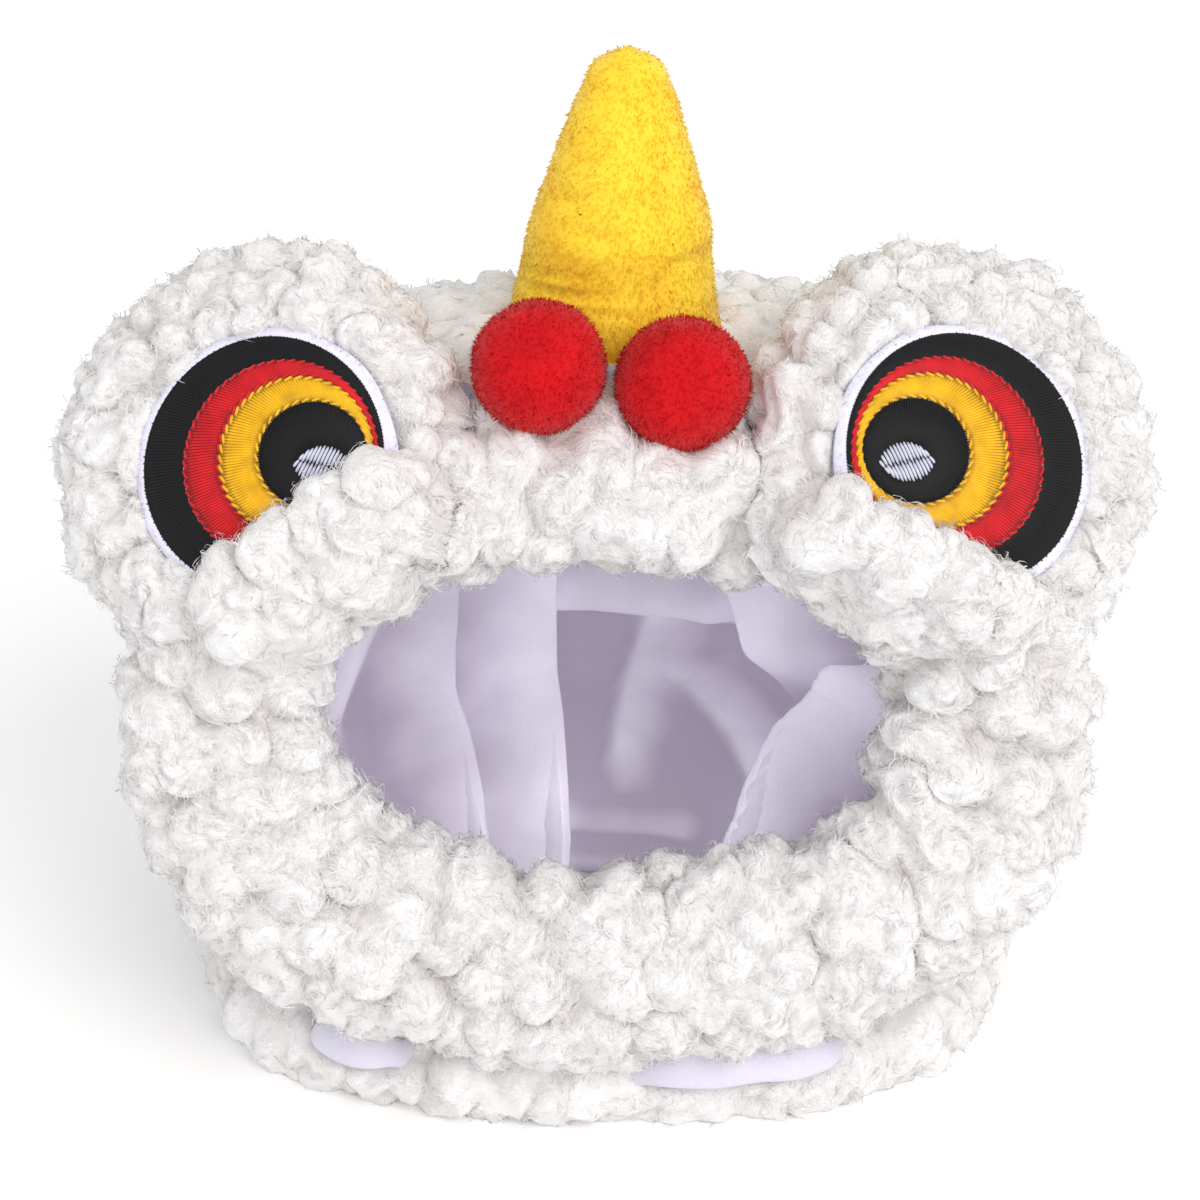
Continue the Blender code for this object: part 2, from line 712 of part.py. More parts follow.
def eye_pad(pad, parts, *cuts):
    """The pillow: rings from the middle of its front to the middle of its back, curly from the edge of
    the felt outwards."""
    shares = [0.35, 0.66, 0.80, 0.91, 0.98, 1.00]
    fronts = [(share, 1) for share in shares] + [(share, -1) for share in reversed(shares[1:-1])]
    around = np.arange(PAD_STEPS) * 2 * math.pi / PAD_STEPS
    rows = []
    depths = curl_depths(PAD_STEPS * len(fronts), seed=11 + pad.side).reshape(-1, PAD_STEPS)
    for i, (share, face) in enumerate(fronts):
        radius = np.full(PAD_STEPS, share * PAD_RADIUS)
        height = pad.dome(radius) * face
        if share * PAD_RADIUS > FELT_RADIUS or face < 0:
            raised = (np.arange(PAD_STEPS) + i) % 2 == 0
            shrink = np.where(raised, depths[i], 1.0) * CURL_HEIGHT / PAD_RADIUS
            radius = radius * (1 - shrink)
            height = height * (1 - shrink)
        rows.append(pad.point(radius * np.cos(around), radius * np.sin(around), height))
    front = pad.point(0.0, 0.0, PAD_HALF_THICKNESS)
    back = pad.point(0.0, 0.0, -PAD_HALF_THICKNESS)
    bm = capped_mesh(np.array(rows), first=front, last=back)
    pillow = new_object(pad.name, mesh_of(pad.name, bm), parts, WHITE_CURLS)
    subtract(pillow, *cuts)
    return pillow


def felt_patch(pad, name, parts, *cuts):
    """The round of felt under the embroidery, bent over the pad's front."""
    around = np.arange(PAD_STEPS) * 2 * math.pi / PAD_STEPS
    rows = []
    shares = [0.42, 0.74, 1.0]
    faces = [(share, GAP + FELT_THICKNESS) for share in shares] + [(share, GAP) for share in shares[::-1]]
    for share, height in faces:
        radius = share * FELT_RADIUS
        rows.append(pad.on_eye(radius * np.cos(around), radius * np.sin(around), height))
    middle = np.array(0.0)
    top = pad.on_eye(middle, middle, GAP + FELT_THICKNESS)
    bottom = pad.on_eye(middle, middle, GAP)
    bm = capped_mesh(np.array(rows), first=top, last=bottom)
    patch = new_object(name, mesh_of(name, bm), parts, LILAC_FELT)
    subtract(patch, *cuts)
    return patch


def outline_points(outline, grow):
    """Points round a sewn outline in the pad's axes, a little larger or smaller."""
    around = np.arange(RING_STEPS) * 2 * math.pi / RING_STEPS
    inward = EYE_RADIUS * outline.inward + (EYE_RADIUS * outline.half_width + grow) * np.cos(around)
    upward = EYE_RADIUS * outline.upward + (EYE_RADIUS * outline.half_height + grow) * np.sin(around)
    return inward, upward


def embroidery(pad, level, name, parts, *cuts):
    """One colour of the embroidery: the band between its outline and the next one in."""
    floor = GAP + FELT_THICKNESS + GAP
    outer = outline_points(EYE_OUTLINES[EYE_ORDER[level]], 0.0)
    rows = [pad.on_eye(*outer, floor), pad.on_eye(*outer, floor + THREAD_HEIGHT)]
    if level + 1 < len(EYE_ORDER):
        inner = outline_points(EYE_OUTLINES[EYE_ORDER[level + 1]], GAP)
        rows += [pad.on_eye(*inner, floor + THREAD_HEIGHT), pad.on_eye(*inner, floor)]
        bm, _ = grid_mesh(np.array(rows))
    else:
        bm = capped_mesh(np.array(rows))
    sewn = new_object(name, mesh_of(name, bm), parts, EYE_MATERIALS[EYE_ORDER[level]])
    subtract(sewn, *cuts)
    return sewn


def horn_place():
    """The middle of the horn's base on the crown."""
    x, y = HORN_OFFSET, -HORN_FORWARD
    return np.array([x, y, crown_height(x, y) - HORN_SINK])


def horn_point(share, around):
    """A point of the horn's surface at a share of its height."""
    heights = column(HORN_SECTIONS, "height")
    half_width = HORN_WIDTH / 2 * smooth(heights, column(HORN_SECTIONS, "width"), share)
    half_depth = HORN_DEPTH / 2 * smooth(heights, column(HORN_SECTIONS, "depth"), share)
    lean = HORN_WIDTH * smooth(heights, column(HORN_SECTIONS, "lean"), share)
    rise = (HORN_HEIGHT + HORN_SINK) * share
    offset = np.stack([lean + half_width * np.sin(around), -half_depth * np.cos(around), rise], axis=-1)
    return horn_place() + offset


def horn(parts, *cuts):
    """The stuffed plush horn, with its waist crease."""
    around = np.arange(HORN_STEPS) * 2 * math.pi / HORN_STEPS
    shares = column(HORN_SECTIONS, "height")
    rows = [horn_point(np.full(HORN_STEPS, share), around) for share in shares]
    tip = rows[-1].mean(axis=0)
    tip[2] = horn_place()[2] + HORN_HEIGHT + HORN_SINK
    made = new_object("horn", mesh_of("horn", capped_mesh(np.array(rows), last=tip)), parts, YELLOW_PLUSH)
    subtract(made, *cuts)
    return made


def pompom_centre(side):
    """Each pompom perches on the top of the ruff, against the front of the horn and beside the other."""
    x = POMPOM_OFFSET + side * (POMPOM_RADIUS + GAP)
    perch = ruff_point(np.array(math.pi / 2), np.array(0.0))[2] + POMPOM_PERCH
    z = perch + (POMPOM_LEFT_RAISE if side < 0 else 0.0)
    share = (z - horn_place()[2]) / (HORN_HEIGHT + HORN_SINK)
    around = np.linspace(0.0, 2 * math.pi, 145)
    surface = horn_point(np.full(around.shape, share), around)
    across = np.clip(np.abs(surface[:, 0] - x) / (POMPOM_RADIUS + GAP), 0.0, 1.0)
    reach = surface[:, 1] - (POMPOM_RADIUS + GAP) * np.sqrt(1 - across**2)
    return np.array([x, float(reach[across < 1].min()), z])


def pompom(name, side, seed, parts, *cuts):
    """A felt pompom: a ball of short tufts."""
    steps, rings = 14, 7
    turns = np.linspace(0.0, math.pi, rings + 2)[1:-1]
    around = np.arange(steps) * 2 * math.pi / steps
    turn, bearing = np.meshgrid(turns, around, indexing="ij")
    i, j = np.indices(turn.shape)
    uneven = np.random.default_rng(seed).uniform(0.0, 0.4, turn.shape)
    radius = POMPOM_RADIUS - POMPOM_TUFT * np.where((i + j) % 2 == 0, uneven, 1.0)
    centre = pompom_centre(side)
    direction = np.stack(
        [np.sin(turn) * np.sin(bearing), -np.sin(turn) * np.cos(bearing), np.cos(turn)], axis=-1
    )
    grid = centre + direction * radius[..., None]
    top = centre + np.array([0.0, 0.0, POMPOM_RADIUS])
    bottom = centre - np.array([0.0, 0.0, POMPOM_RADIUS])
    bm = capped_mesh(grid, first=top, last=bottom)
    ball = new_object(name, mesh_of(name, bm), parts, RED_FELT)
    subtract(ball, *cuts)
    return ball


def set_on_origin(pieces, root):
    """Puts the bottom centre of the whole hat at the origin, by moving the empty that carries it."""
    bpy.context.view_layer.update()
    graph = bpy.context.evaluated_depsgraph_get()
    low, high = np.full(3, np.inf), np.full(3, -np.inf)
    for piece in pieces:
        mesh = piece.evaluated_get(graph).to_mesh()
        points = np.empty(len(mesh.vertices) * 3, np.float32)
        mesh.vertices.foreach_get("co", points)
        points = points.reshape(-1, 3)
        low = np.minimum(low, points.min(axis=0))
        high = np.maximum(high, points.max(axis=0))
    middle = (low + high) / 2
    root.location = Vector((-middle[0], -middle[1], -low[2]))


def build():
    clear_scene()
    parts = new_collection("lion_dance_hat")
    cutters = new_collection("cutters", hidden=True)
    face_cut = face_cutter(cutters)
    hood_cut = hood_envelope(cutters)
    ruff_cut = ruff_envelope(cutters)
    hem_cut = hem_envelope(cutters)
    pieces = [
        hood_shell(parts, cutters, face_cut),
        face_ruff(parts),
        neck_hem(parts, ruff_cut),
        hood_lining(parts, face_cut),
        hem_facing(parts, ruff_cut, hem_cut),
    ]
    for side, word, shift in ((-1, "left", EYE_SHIFT_LEFT), (1, "right", EYE_SHIFT_RIGHT)):
        pad = EyePad(side, f"eye_pad_{word}", shift)
        pieces.append(eye_pad(pad, parts, hood_cut, ruff_cut))
        pieces.append(felt_patch(pad, f"eye_felt_{word}", parts, ruff_cut, hood_cut))
        for level, colour in enumerate(EYE_ORDER):
            name = f"eye_{colour}_{word}"
            pieces.append(embroidery(pad, level, name, parts, ruff_cut, hood_cut))
    pieces.append(horn(parts, hood_cut))
    pieces.append(pompom("pompom_left", -1, 21, parts, hood_cut, ruff_cut))
    pieces.append(pompom("pompom_right", 1, 22, parts, hood_cut, ruff_cut))
    root = bpy.data.objects.new("hat", None)
    parts.objects.link(root)
    set_on_origin(pieces, root)
    for thing in pieces + list(cutters.objects):
        thing.parent = root


build()
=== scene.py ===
import logging
import math
from collections import namedtuple
from dataclasses import dataclass, replace
from enum import Enum

import bpy
import numpy as np
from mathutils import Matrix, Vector
from mathutils.bvhtree import BVHTree


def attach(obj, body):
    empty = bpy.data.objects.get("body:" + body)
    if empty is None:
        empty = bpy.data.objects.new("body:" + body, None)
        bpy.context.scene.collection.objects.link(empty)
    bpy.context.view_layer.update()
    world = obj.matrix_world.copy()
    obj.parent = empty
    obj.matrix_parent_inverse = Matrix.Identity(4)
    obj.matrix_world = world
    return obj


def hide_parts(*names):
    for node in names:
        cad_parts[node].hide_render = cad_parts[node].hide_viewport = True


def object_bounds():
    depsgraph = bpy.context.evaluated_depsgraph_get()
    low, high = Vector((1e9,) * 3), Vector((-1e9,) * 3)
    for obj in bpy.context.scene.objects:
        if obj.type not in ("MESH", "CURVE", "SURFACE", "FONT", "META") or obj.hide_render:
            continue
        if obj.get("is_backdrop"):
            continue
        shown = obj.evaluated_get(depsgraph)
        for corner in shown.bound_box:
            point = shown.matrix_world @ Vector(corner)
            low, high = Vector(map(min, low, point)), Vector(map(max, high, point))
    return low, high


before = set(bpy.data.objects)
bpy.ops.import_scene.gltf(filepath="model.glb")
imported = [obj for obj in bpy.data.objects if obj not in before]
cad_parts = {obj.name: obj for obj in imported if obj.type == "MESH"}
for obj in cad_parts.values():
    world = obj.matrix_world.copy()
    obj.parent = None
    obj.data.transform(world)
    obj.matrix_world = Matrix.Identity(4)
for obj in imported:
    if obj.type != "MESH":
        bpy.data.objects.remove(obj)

CAD_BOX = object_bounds()
LOG = logging.getLogger("lion_dance_hat")

# Where the hat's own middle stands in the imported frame, in metres
MIDDLE = np.array([0.00026, 0.00134, 0.0])
BODY = "root"

# A direction for tests of what lies inside what, a little off the vertical so that it meets no edge
RAY = Vector((0.0131, 0.0273, 1.0)).normalized()

Array = np.ndarray


class Side(Enum):
    """Which side of the hat, as the picture shows it."""

    LEFT = -1
    RIGHT = 1

    @property
    def word(self) -> str:
        """The side's name in lower case."""
        return self.name.lower()


def srgb(code: str) -> tuple[float, float, float, float]:
    """Turns an sRGB hex value into a linear colour.

    Args:
        code: Six hex digits.

    Returns:
        Linear red, green and blue, and an alpha of one.
    """
    shares = [int(code[i : i + 2], 16) / 255 for i in (0, 2, 4)]
    red, green, blue = (s / 12.92 if s <= 0.04045 else ((s + 0.055) / 1.055) ** 2.4 for s in shares)
    return red, green, blue, 1.0


def add_node(tree: bpy.types.NodeTree, kind: str, settings: dict, links: dict) -> bpy.types.Node:
    """Adds a node with its settings and links.

    Args:
        tree: The node tree that it goes in.
        kind: Blender's name for the kind of node.
        settings: Values by the name or number of an input, or by the name of a property.
        links: The output that feeds each input, by the input's name or number.

    Returns:
        The new node.
    """
    node = tree.nodes.new(kind)
    for key, value in settings.items():
        if isinstance(key, int) or key in node.inputs:
            node.inputs[key].default_value = value
        else:
            setattr(node, key, value)
    for key, source in links.items():
        tree.links.new(source, node.inputs[key])
    return node


@dataclass(frozen=True)
class Finish:
    """What every fabric of the hat shares: a lit and a deep colour, the deep one for painted shade, a grain
    and a soft sheen; a glow, where one is set, is painted light.
    """

    name: str
    light: str
    deep: str
    roughness: float
    sheen: float
    sheen_spread: float
    grain: float
    relief: float
    patches: float
    ior: float = 1.5
    specular: float = 0.3
    see_through: float = 0.0
    glow: float = 0.0

    def depth(self, tree: bpy.types.NodeTree) -> bpy.types.NodeSocket:
        """Where the deep colour shows: painted shade at the roots of the fibres, in the valleys of the pile
        and the folds and at the ends of stitches, as each piece marks it, and in soft patches.

        Args:
            tree: The material's node tree.

        Returns:
            A socket that is 0 where the light colour shows and 1 where the deep one does.
        """
        roots = add_node(tree, "ShaderNodeAttribute", {"attribute_name": "depth"}, {})
        place = add_node(tree, "ShaderNodeTexCoord", {}, {})
        cloud = add_node(
            tree,
            "ShaderNodeTexNoise",
            {"Scale": 1.0 / self.patches, "Detail": 2.0, "Roughness": 0.5},
            {"Vector": place.outputs["Object"]},
        )
        spread = add_node(
            tree,
            "ShaderNodeMapRange",
            {"From Min": 0.35, "From Max": 0.75, "To Min": 0.0, "To Max": 0.35},
            {"Value": cloud.outputs[0]},
        )
        total = add_node(
            tree,
            "ShaderNodeMath",
            {"operation": "ADD", "use_clamp": True},
            {0: roots.outputs["Fac"], 1: spread.outputs[0]},
        )
        return total.outputs[0]

    def height(self, tree: bpy.types.NodeTree) -> bpy.types.NodeSocket:
        """The fabric's own grain.

        Args:
            tree: The material's node tree.

        Returns:
            A socket with the grain's height from 0 to 1.
        """
        place = add_node(tree, "ShaderNodeTexCoord", {}, {})
        grain = add_node(
            tree,
            "ShaderNodeTexNoise",
            {"Scale": 1.0 / self.grain, "Detail": 3.0, "Roughness": 0.65, "Distortion": 1.5},
            {"Vector": place.outputs["Object"]},
        )
        return grain.outputs[0]

    def material(self) -> bpy.types.Material:
        """Makes the material once.

        Returns:
            The Blender material of this finish.
        """
        found = bpy.data.materials.get(self.name)
        if found:
            return found
        made = bpy.data.materials.new(self.name)
        made.use_nodes = True
        tree = made.node_tree
        surface = tree.nodes["Principled BSDF"]
        for socket, value in {
            "Roughness": self.roughness,
            "IOR": self.ior,
            "Specular IOR Level": self.specular,
            "Sheen Weight": self.sheen,
            "Sheen Roughness": self.sheen_spread,
        }.items():
            surface.inputs[socket].default_value = value
        blend = add_node(
            tree,
            "ShaderNodeMix",
            {"data_type": "RGBA", 6: srgb(self.light), 7: srgb(self.deep)},
            {0: self.depth(tree)},
        )
        bump = add_node(
            tree,
            "ShaderNodeBump",
            {"Strength": 0.6, "Distance": self.relief},
            {"Height": self.height(tree)},
        )
        tree.links.new(blend.outputs[2], surface.inputs["Base Color"])
        tree.links.new(bump.outputs[0], surface.inputs["Normal"])
        # Painted light: the cloth glows in its own colours, standing in for daylight that comes through it.
        if self.glow:
            tree.links.new(blend.outputs[2], surface.inputs["Emission Color"])
            surface.inputs["Emission Strength"].default_value = self.glow
        if self.see_through:
            single = add_node(tree, "ShaderNodeAttribute", {"attribute_name": "loose"}, {})
            share = add_node(
                tree,
                "ShaderNodeMath",
                {"operation": "MULTIPLY", 1: self.see_through},
                {0: single.outputs["Fac"]},
            )
            through = add_node(tree, "ShaderNodeBsdfTranslucent", {}, {"Color": blend.outputs[2]})
            both = add_node(
                tree,
                "ShaderNodeMixShader",
                {},
                {0: share.outputs[0], 1: surface.outputs[0], 2: through.outputs[0]},
            )
            tree.links.new(both.outputs[0], tree.nodes["Material Output"].inputs["Surface"])
        return made


# Polyester sherpa fleece, knitted and tumbled until its pile curls: matt white locks, greyer at the roots
# and in the valleys between tufts, which is painted shade. A fibre is about 0.02 mm thick, so the strands
# here stand for small bundles of them. Single fibres let part of the light through.
CURLY_SHERPA = Finish(
    "curly_sherpa_fleece", "FCFBFB", "EEEAE8",
    roughness=0.8, sheen=0.2, sheen_spread=0.5, grain=0.0006, relief=0.0012, patches=0.014, see_through=0.2,
)

# Polyester fleece, brushed and sheared: a soft mauve cloth with a fine nap. The nap of about 0.05 mm is
# drawn at 0.6 mm, as coarse as it needs to show. Its deep colour is painted shade in the folds' valleys.
# Daylight comes through the thin cloth of the hood, for which it has a glow of painted light of its own.
BRUSHED_FLEECE = Finish(
    "brushed_lilac_fleece", "EAE7F1", "A49CAC",
    roughness=0.9, sheen=0.35, sheen_spread=0.5, grain=0.0006, relief=0.0003, patches=0.020, glow=0.42,
)

# The same fleece on the lip under the chin, which the open light reaches, so no daylight comes through it.
LIP_FLEECE = replace(
    BRUSHED_FLEECE, name="brushed_lilac_fleece_lip", light="DEDBEA", deep="BDB6CB", glow=0.0
)

# Pressed polyester felt: flat, pale and slightly fuzzy, with fibres of about 0.4 mm lying any way. Its fuzz
# is darker at the roots with painted shade.
PRESSED_FELT = Finish(
    "pressed_lilac_felt", "E9E7F6", "CFCBE4",
    roughness=0.85, sheen=0.2, sheen_spread=0.5, grain=0.0004, relief=0.00015, patches=0.004,
)

# Rayon embroidery thread of about 0.4 mm, twisted and laid as satin stitch: silky highlights along each
# stitch. The twist is drawn at 0.25 mm. Each deep colour is painted shade, at the ends of the stitches and
# on the backing between them.
RED_RAYON = Finish(
    "red_rayon_thread", "D81622", "6E0810",
    roughness=0.45, sheen=0.0, sheen_spread=0.5, grain=0.00025, relief=0.00008, patches=0.003, specular=0.3,
)
GOLD_RAYON = replace(
    RED_RAYON, name="gold_rayon_thread", light="F6BE10", deep="8C5C04", roughness=0.42, specular=0.35
)
PALE_RAYON = replace(
    RED_RAYON, name="pale_rayon_thread", light="D5D5E6", deep="9C9CB4", roughness=0.38, specular=0.5
)
BLACK_RAYON = replace(
    RED_RAYON, name="black_rayon_thread", light="101014", deep="030304", relief=0.00012, specular=0.25
)

# Short polyester plush, cut and brushed one way: bright yellow with soft darker patches, painted shade that
# stands for the nap turning, and painted shade at the roots of the nap and on the skin under it.
# The nap is 1.5 mm long.
YELLOW_PLUSH = Finish(
    "short_yellow_plush", "FFEE46", "F4BC22",
    roughness=0.8, sheen=0.3, sheen_spread=0.4, grain=0.0008, relief=0.0003, patches=0.007, see_through=0.4,
)

# Wool craft pompom, tufted, trimmed to a ball and felted: saturated red that drinks the light. Its deep red
# is painted shade on the ball under the nap and at the nap's roots.
FELTED_WOOL = Finish(
    "felted_red_wool", "F00A18", "C00412",
    roughness=0.9, sheen=0.15, sheen_spread=0.4, grain=0.0006, relief=0.0003, patches=0.006, see_through=0.4,
)


def smooth(xs: list, ys: list, at: Array) -> Array:
    """Reads a cubic curve through a table.

    Args:
        xs: The table's places, rising.
        ys: Its values.
        at: Where to read it.

    Returns:
        The values at those places.
    """
    xs, ys, at = (np.asarray(a, float) for a in (xs, ys, at))
    slopes = np.gradient(ys, xs)
    i = np.clip(np.searchsorted(xs, at) - 1, 0, len(xs) - 2)
    span = xs[i + 1] - xs[i]
    t = np.clip((at - xs[i]) / span, 0.0, 1.0)
    start = (2 * t - 3) * t * t + 1
    bends = ((t - 2) * t + 1) * t * slopes[i] + (t - 1) * t * t * slopes[i + 1]
    return start * ys[i] + (1 - start) * ys[i + 1] + span * bends


def column(rows: list, name: str) -> list:
    """One named column of a table."""
    return [getattr(row, name) for row in rows]


def power(value: Array, squareness: float) -> Array:
    """The superellipse's rounding of a cosine or a sine."""
    return np.sign(value) * np.abs(value) ** (2.0 / squareness)


def unit(vectors: Array) -> Array:
    """The same directions with a length of one."""
    return vectors / np.maximum(np.linalg.norm(vectors, axis=-1, keepdims=True), 1e-12)


def stack(x: Array, y: Array, z: Array) -> Array:
    """Points from their three coordinates."""
    return np.stack(np.broadcast_arrays(x, y, z), axis=-1)


def ring_angles(count: int) -> Array:
    """Even angles round a full ring."""
    return np.arange(count) * 2 * math.pi / count


def lattice(rows: Array, columns: Array) -> tuple[Array, Array]:
    """Every row's value with every column's."""
    return tuple(np.meshgrid(rows, columns, indexing="ij"))


def oval(angle: Array, half_width: float, up: float, down: float, squareness: float) -> tuple:
    """Points of an oval loop and its outward directions, in its own plane.

    Args:
        angle: Where round the loop.
        half_width: Its reach sideways.
        up: Its reach upwards.
        down: Its reach downwards.
        squareness: 2 for an ellipse, more for squarer corners.

    Returns:
        The points' two coordinates and the directions' two.
    """
    c, s = np.cos(angle), np.sin(angle)
    half_height = np.where(s > 0, up, down)
    slope = 2.0 - 2.0 / squareness
    nx = np.sign(c) * np.abs(c) ** slope / half_width
    ny = np.sign(s) * np.abs(s) ** slope / half_height
    length = np.hypot(nx, ny)
    return half_width * power(c, squareness), half_height * power(s, squareness), nx / length, ny / length


@dataclass
class Surface:
    """A mesh held as arrays: points, triangles, how deep in the pile each point lies, which sets its painted
    shade, and which way it is shaded as facing. A pile is shaded by the form of its curls, as soft fibres
    scatter light. Loose marks the points of single fibres, which let light through."""

    points: Array
    triangles: Array
    depth: Array
    shade: Array | None = None
    loose: Array | None = None

    @classmethod
    def from_grid(cls, grid: Array, close_rows: bool, close_columns: bool = True) -> "Surface":
        """Makes a surface from rows of points.

        Args:
            grid: Rows by columns of points.
            close_rows: Whether the last row joins the first.
            close_columns: Whether each row is a ring.

        Returns:
            The surface.
        """
        rows, columns = grid.shape[:2]
        i, j = lattice(
            np.arange(rows if close_rows else rows - 1), np.arange(columns if close_columns else columns - 1)
        )
        k, n = (i + 1) % rows, (j + 1) % columns
        corners = [(a * columns + b).ravel() for a, b in ((i, j), (i, n), (k, n), (k, j))]
        a, b, c, d = corners
        triangles = np.concatenate([np.stack([a, b, c], 1), np.stack([a, c, d], 1)])
        points = grid.reshape(-1, 3)
        return cls(points, triangles, np.zeros(len(points)))

    @classmethod
    def loft(cls, rings: Array, first: Array, last: Array) -> "Surface":
        """Makes a closed surface from rings of points, with a point at each end."""
        return cls.from_grid(rings, close_rows=False).closed(first, last, rings.shape[1]).outward()

    def closed(self, first: Array | None, last: Array | None, ring: int) -> "Surface":
        """Closes the ends of a loft with fans.

        Args:
            first: The point that closes the first ring, or None.
            last: The point that closes the last ring, or None.
            ring: How many points a ring has.

        Returns:
            The closed surface.
        """
        points, triangles = self.points, self.triangles
        starts = {0: first, len(points) - ring: last}
        for start, tip in starts.items():
            if tip is None:
                continue
            j = np.arange(ring)
            fan = np.stack([start + j, start + (j + 1) % ring, np.full(ring, len(points))], 1)
            triangles = np.concatenate([triangles, fan if start else fan[:, ::-1]])
            points = np.concatenate([points, np.asarray(tip, float).reshape(1, 3)])
        return Surface(points, triangles, np.zeros(len(points)))

    def outward(self) -> "Surface":
        """Turns the triangles so that a closed surface faces outwards.

        Returns:
            This surface.
        """
        a, b, c = (self.points[self.triangles[:, k]] for k in range(3))
        volume = np.einsum("ij,ij->i", a, np.cross(b, c)).sum()
        if volume < 0:
            self.triangles = self.triangles[:, ::-1]
        return self

    def normals(self) -> Array:
        """Works out smooth directions.

        Returns:
            A unit direction for each point.
        """
        a, b, c = (self.points[self.triangles[:, k]] for k in range(3))
        faces = np.cross(b - a, c - a)
        total = np.zeros_like(self.points)
        for k in range(3):
            np.add.at(total, self.triangles[:, k], faces)
        return unit(total)

    def spots(self, count: int, rng: np.random.Generator) -> tuple[Array, Array]:
        """Picks random places, evenly over the area.

        Args:
            count: How many.
            rng: The source of chance.

        Returns:
            For each place the three corners that it lies between and its share of each.
        """
        a, b, c = (self.points[self.triangles[:, k]] for k in range(3))
        area = np.linalg.norm(np.cross(b - a, c - a), axis=1)
        pick = rng.choice(len(area), count, p=area / area.sum())
        u, v = rng.random((2, count))
        flip = u + v > 1
        u, v = np.where(flip, 1 - u, u), np.where(flip, 1 - v, v)
        return self.triangles[pick], np.stack([1 - u - v, u, v], axis=1)

    @staticmethod
    def at(values: Array, corners: Array, shares: Array) -> Array:
        """Reads values of the points at such places."""
        return (values[corners] * shares[..., None]).sum(axis=1)

    def kept(self, keep: Array) -> "Surface":
        """This surface with only the marked triangles, and all its points."""
        return Surface(self.points, self.triangles[keep], self.depth, self.shade, self.loose)

    def middles(self) -> Array:
        """The triangles' middles."""
        return self.points[self.triangles].mean(axis=1)

    def uncovered(self, *names: str) -> "Surface":
        """This surface without the triangles whose middles lie inside the named CAD nodes."""
        return self.kept(~Neighbours(*names).covers(self.middles()))

    def trimmed(self) -> "Surface":
        """Leaves out the points that no triangle uses.

        Returns:
            The same triangles with fewer points.
        """
        used, renumbered = np.unique(self.triangles, return_inverse=True)
        shade = None if self.shade is None else self.shade[used]
        loose = None if self.loose is None else self.loose[used]
        return Surface(self.points[used], renumbered.reshape(-1, 3), self.depth[used], shade, loose)

    def joined(self, *others: "Surface") -> "Surface":
        """Joins surfaces.

        Args:
            others: The surfaces to add to this one.

        Returns:
            All of them as one.
        """
        points, triangles, depth, shade, loose, start = [], [], [], [], [], 0
        for part in (self, *others):
            points.append(part.points)
            triangles.append(part.triangles + start)
            depth.append(part.depth)
            shade.append(part.normals() if part.shade is None else part.shade)
            loose.append(np.zeros(len(part.points)) if part.loose is None else part.loose)
            start += len(part.points)
        return Surface(*(np.concatenate(rows) for rows in (points, triangles, depth, shade, loose)))

    def dress(self, name: str, finish: Finish, slot: str, *nodes: str) -> bpy.types.Object:
        """Makes the Blender piece.

        Args:
            name: The piece's name.
            finish: Its finish.
            slot: The name of a material slot; not used.
            nodes: The CAD nodes that it stands for.

        Returns:
            The piece, riding on the hat.
        """
        mesh = bpy.data.meshes.new(name)
        mesh.vertices.add(len(self.points))
        mesh.vertices.foreach_set("co", self.points.astype(np.float32).ravel())
        mesh.loops.add(self.triangles.size)
        mesh.loops.foreach_set("vertex_index", self.triangles.astype(np.int32).ravel())
        mesh.polygons.add(len(self.triangles))
        mesh.polygons.foreach_set("loop_start", np.arange(len(self.triangles), dtype=np.int32) * 3)
        mesh.update(calc_edges=True)
        loose = np.zeros(len(self.points)) if self.loose is None else self.loose
        for label, values in (("depth", self.depth), ("loose", loose)):
            attribute = mesh.attributes.new(label, "FLOAT", "POINT")
            attribute.data.foreach_set("value", values.astype(np.float32))
        mesh.shade_smooth()
        if self.shade is not None:
            mesh.normals_split_custom_set_from_vertices(self.shade.astype(np.float32))
        mesh.materials.append(finish.material())
        piece = bpy.data.objects.new(name, mesh)
        bpy.context.scene.collection.objects.link(piece)
        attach(piece, BODY)
        if nodes:
            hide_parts(*nodes)
        LOG.info("%s: %d triangles", name, len(self.triangles))
        return piece


def ribbons(paths: Array, facing: Array, widths: Array, depth: Array, form: Array) -> Surface:
    """Makes one tapering strand along each path.

    Args:
        paths: Strands by steps of points.
        facing: The direction that the strand's flat side looks, at each point.
        widths: The strand's width at each point; the last is its tip.
        depth: How deep in the pile each point lies, which sets its painted shade.
        form: The direction of the form under the strand, at each point.

    Returns:
        All the strands as one surface.
    """
    count, steps = paths.shape[:2]
    along = np.gradient(paths, axis=1)
    across = unit(np.cross(along, facing)) * widths[..., None] / 2
    edges = np.stack([paths - across, paths + across], axis=2)[:, :-1].reshape(count, -1, 3)
    points = np.concatenate([edges, paths[:, -1:]], axis=1)
    per = points.shape[1]
    local = []
    for j in range(steps - 2):
        local += [(2 * j, 2 * j + 1, 2 * j + 3), (2 * j, 2 * j + 3, 2 * j + 2)]
    local.append((2 * steps - 4, 2 * steps - 3, 2 * steps - 2))
    triangles = (np.array(local)[None] + (np.arange(count) * per)[:, None, None]).reshape(-1, 3)
    deep = np.concatenate([np.repeat(depth[:, :-1], 2, axis=1), depth[:, -1:]], axis=1)
    flat = unit(facing - unit(along) * (facing * unit(along)).sum(axis=-1, keepdims=True))
    form_share, own_share = 0.85, 0.15
    lit = unit(form_share * form + own_share * flat)
    lit = np.concatenate([np.repeat(lit[:, :-1], 2, axis=1), lit[:, -1:]], axis=1)
    points = points.reshape(-1, 3)
    return Surface(points, triangles, deep.ravel(), lit.reshape(-1, 3), np.ones(len(points)))


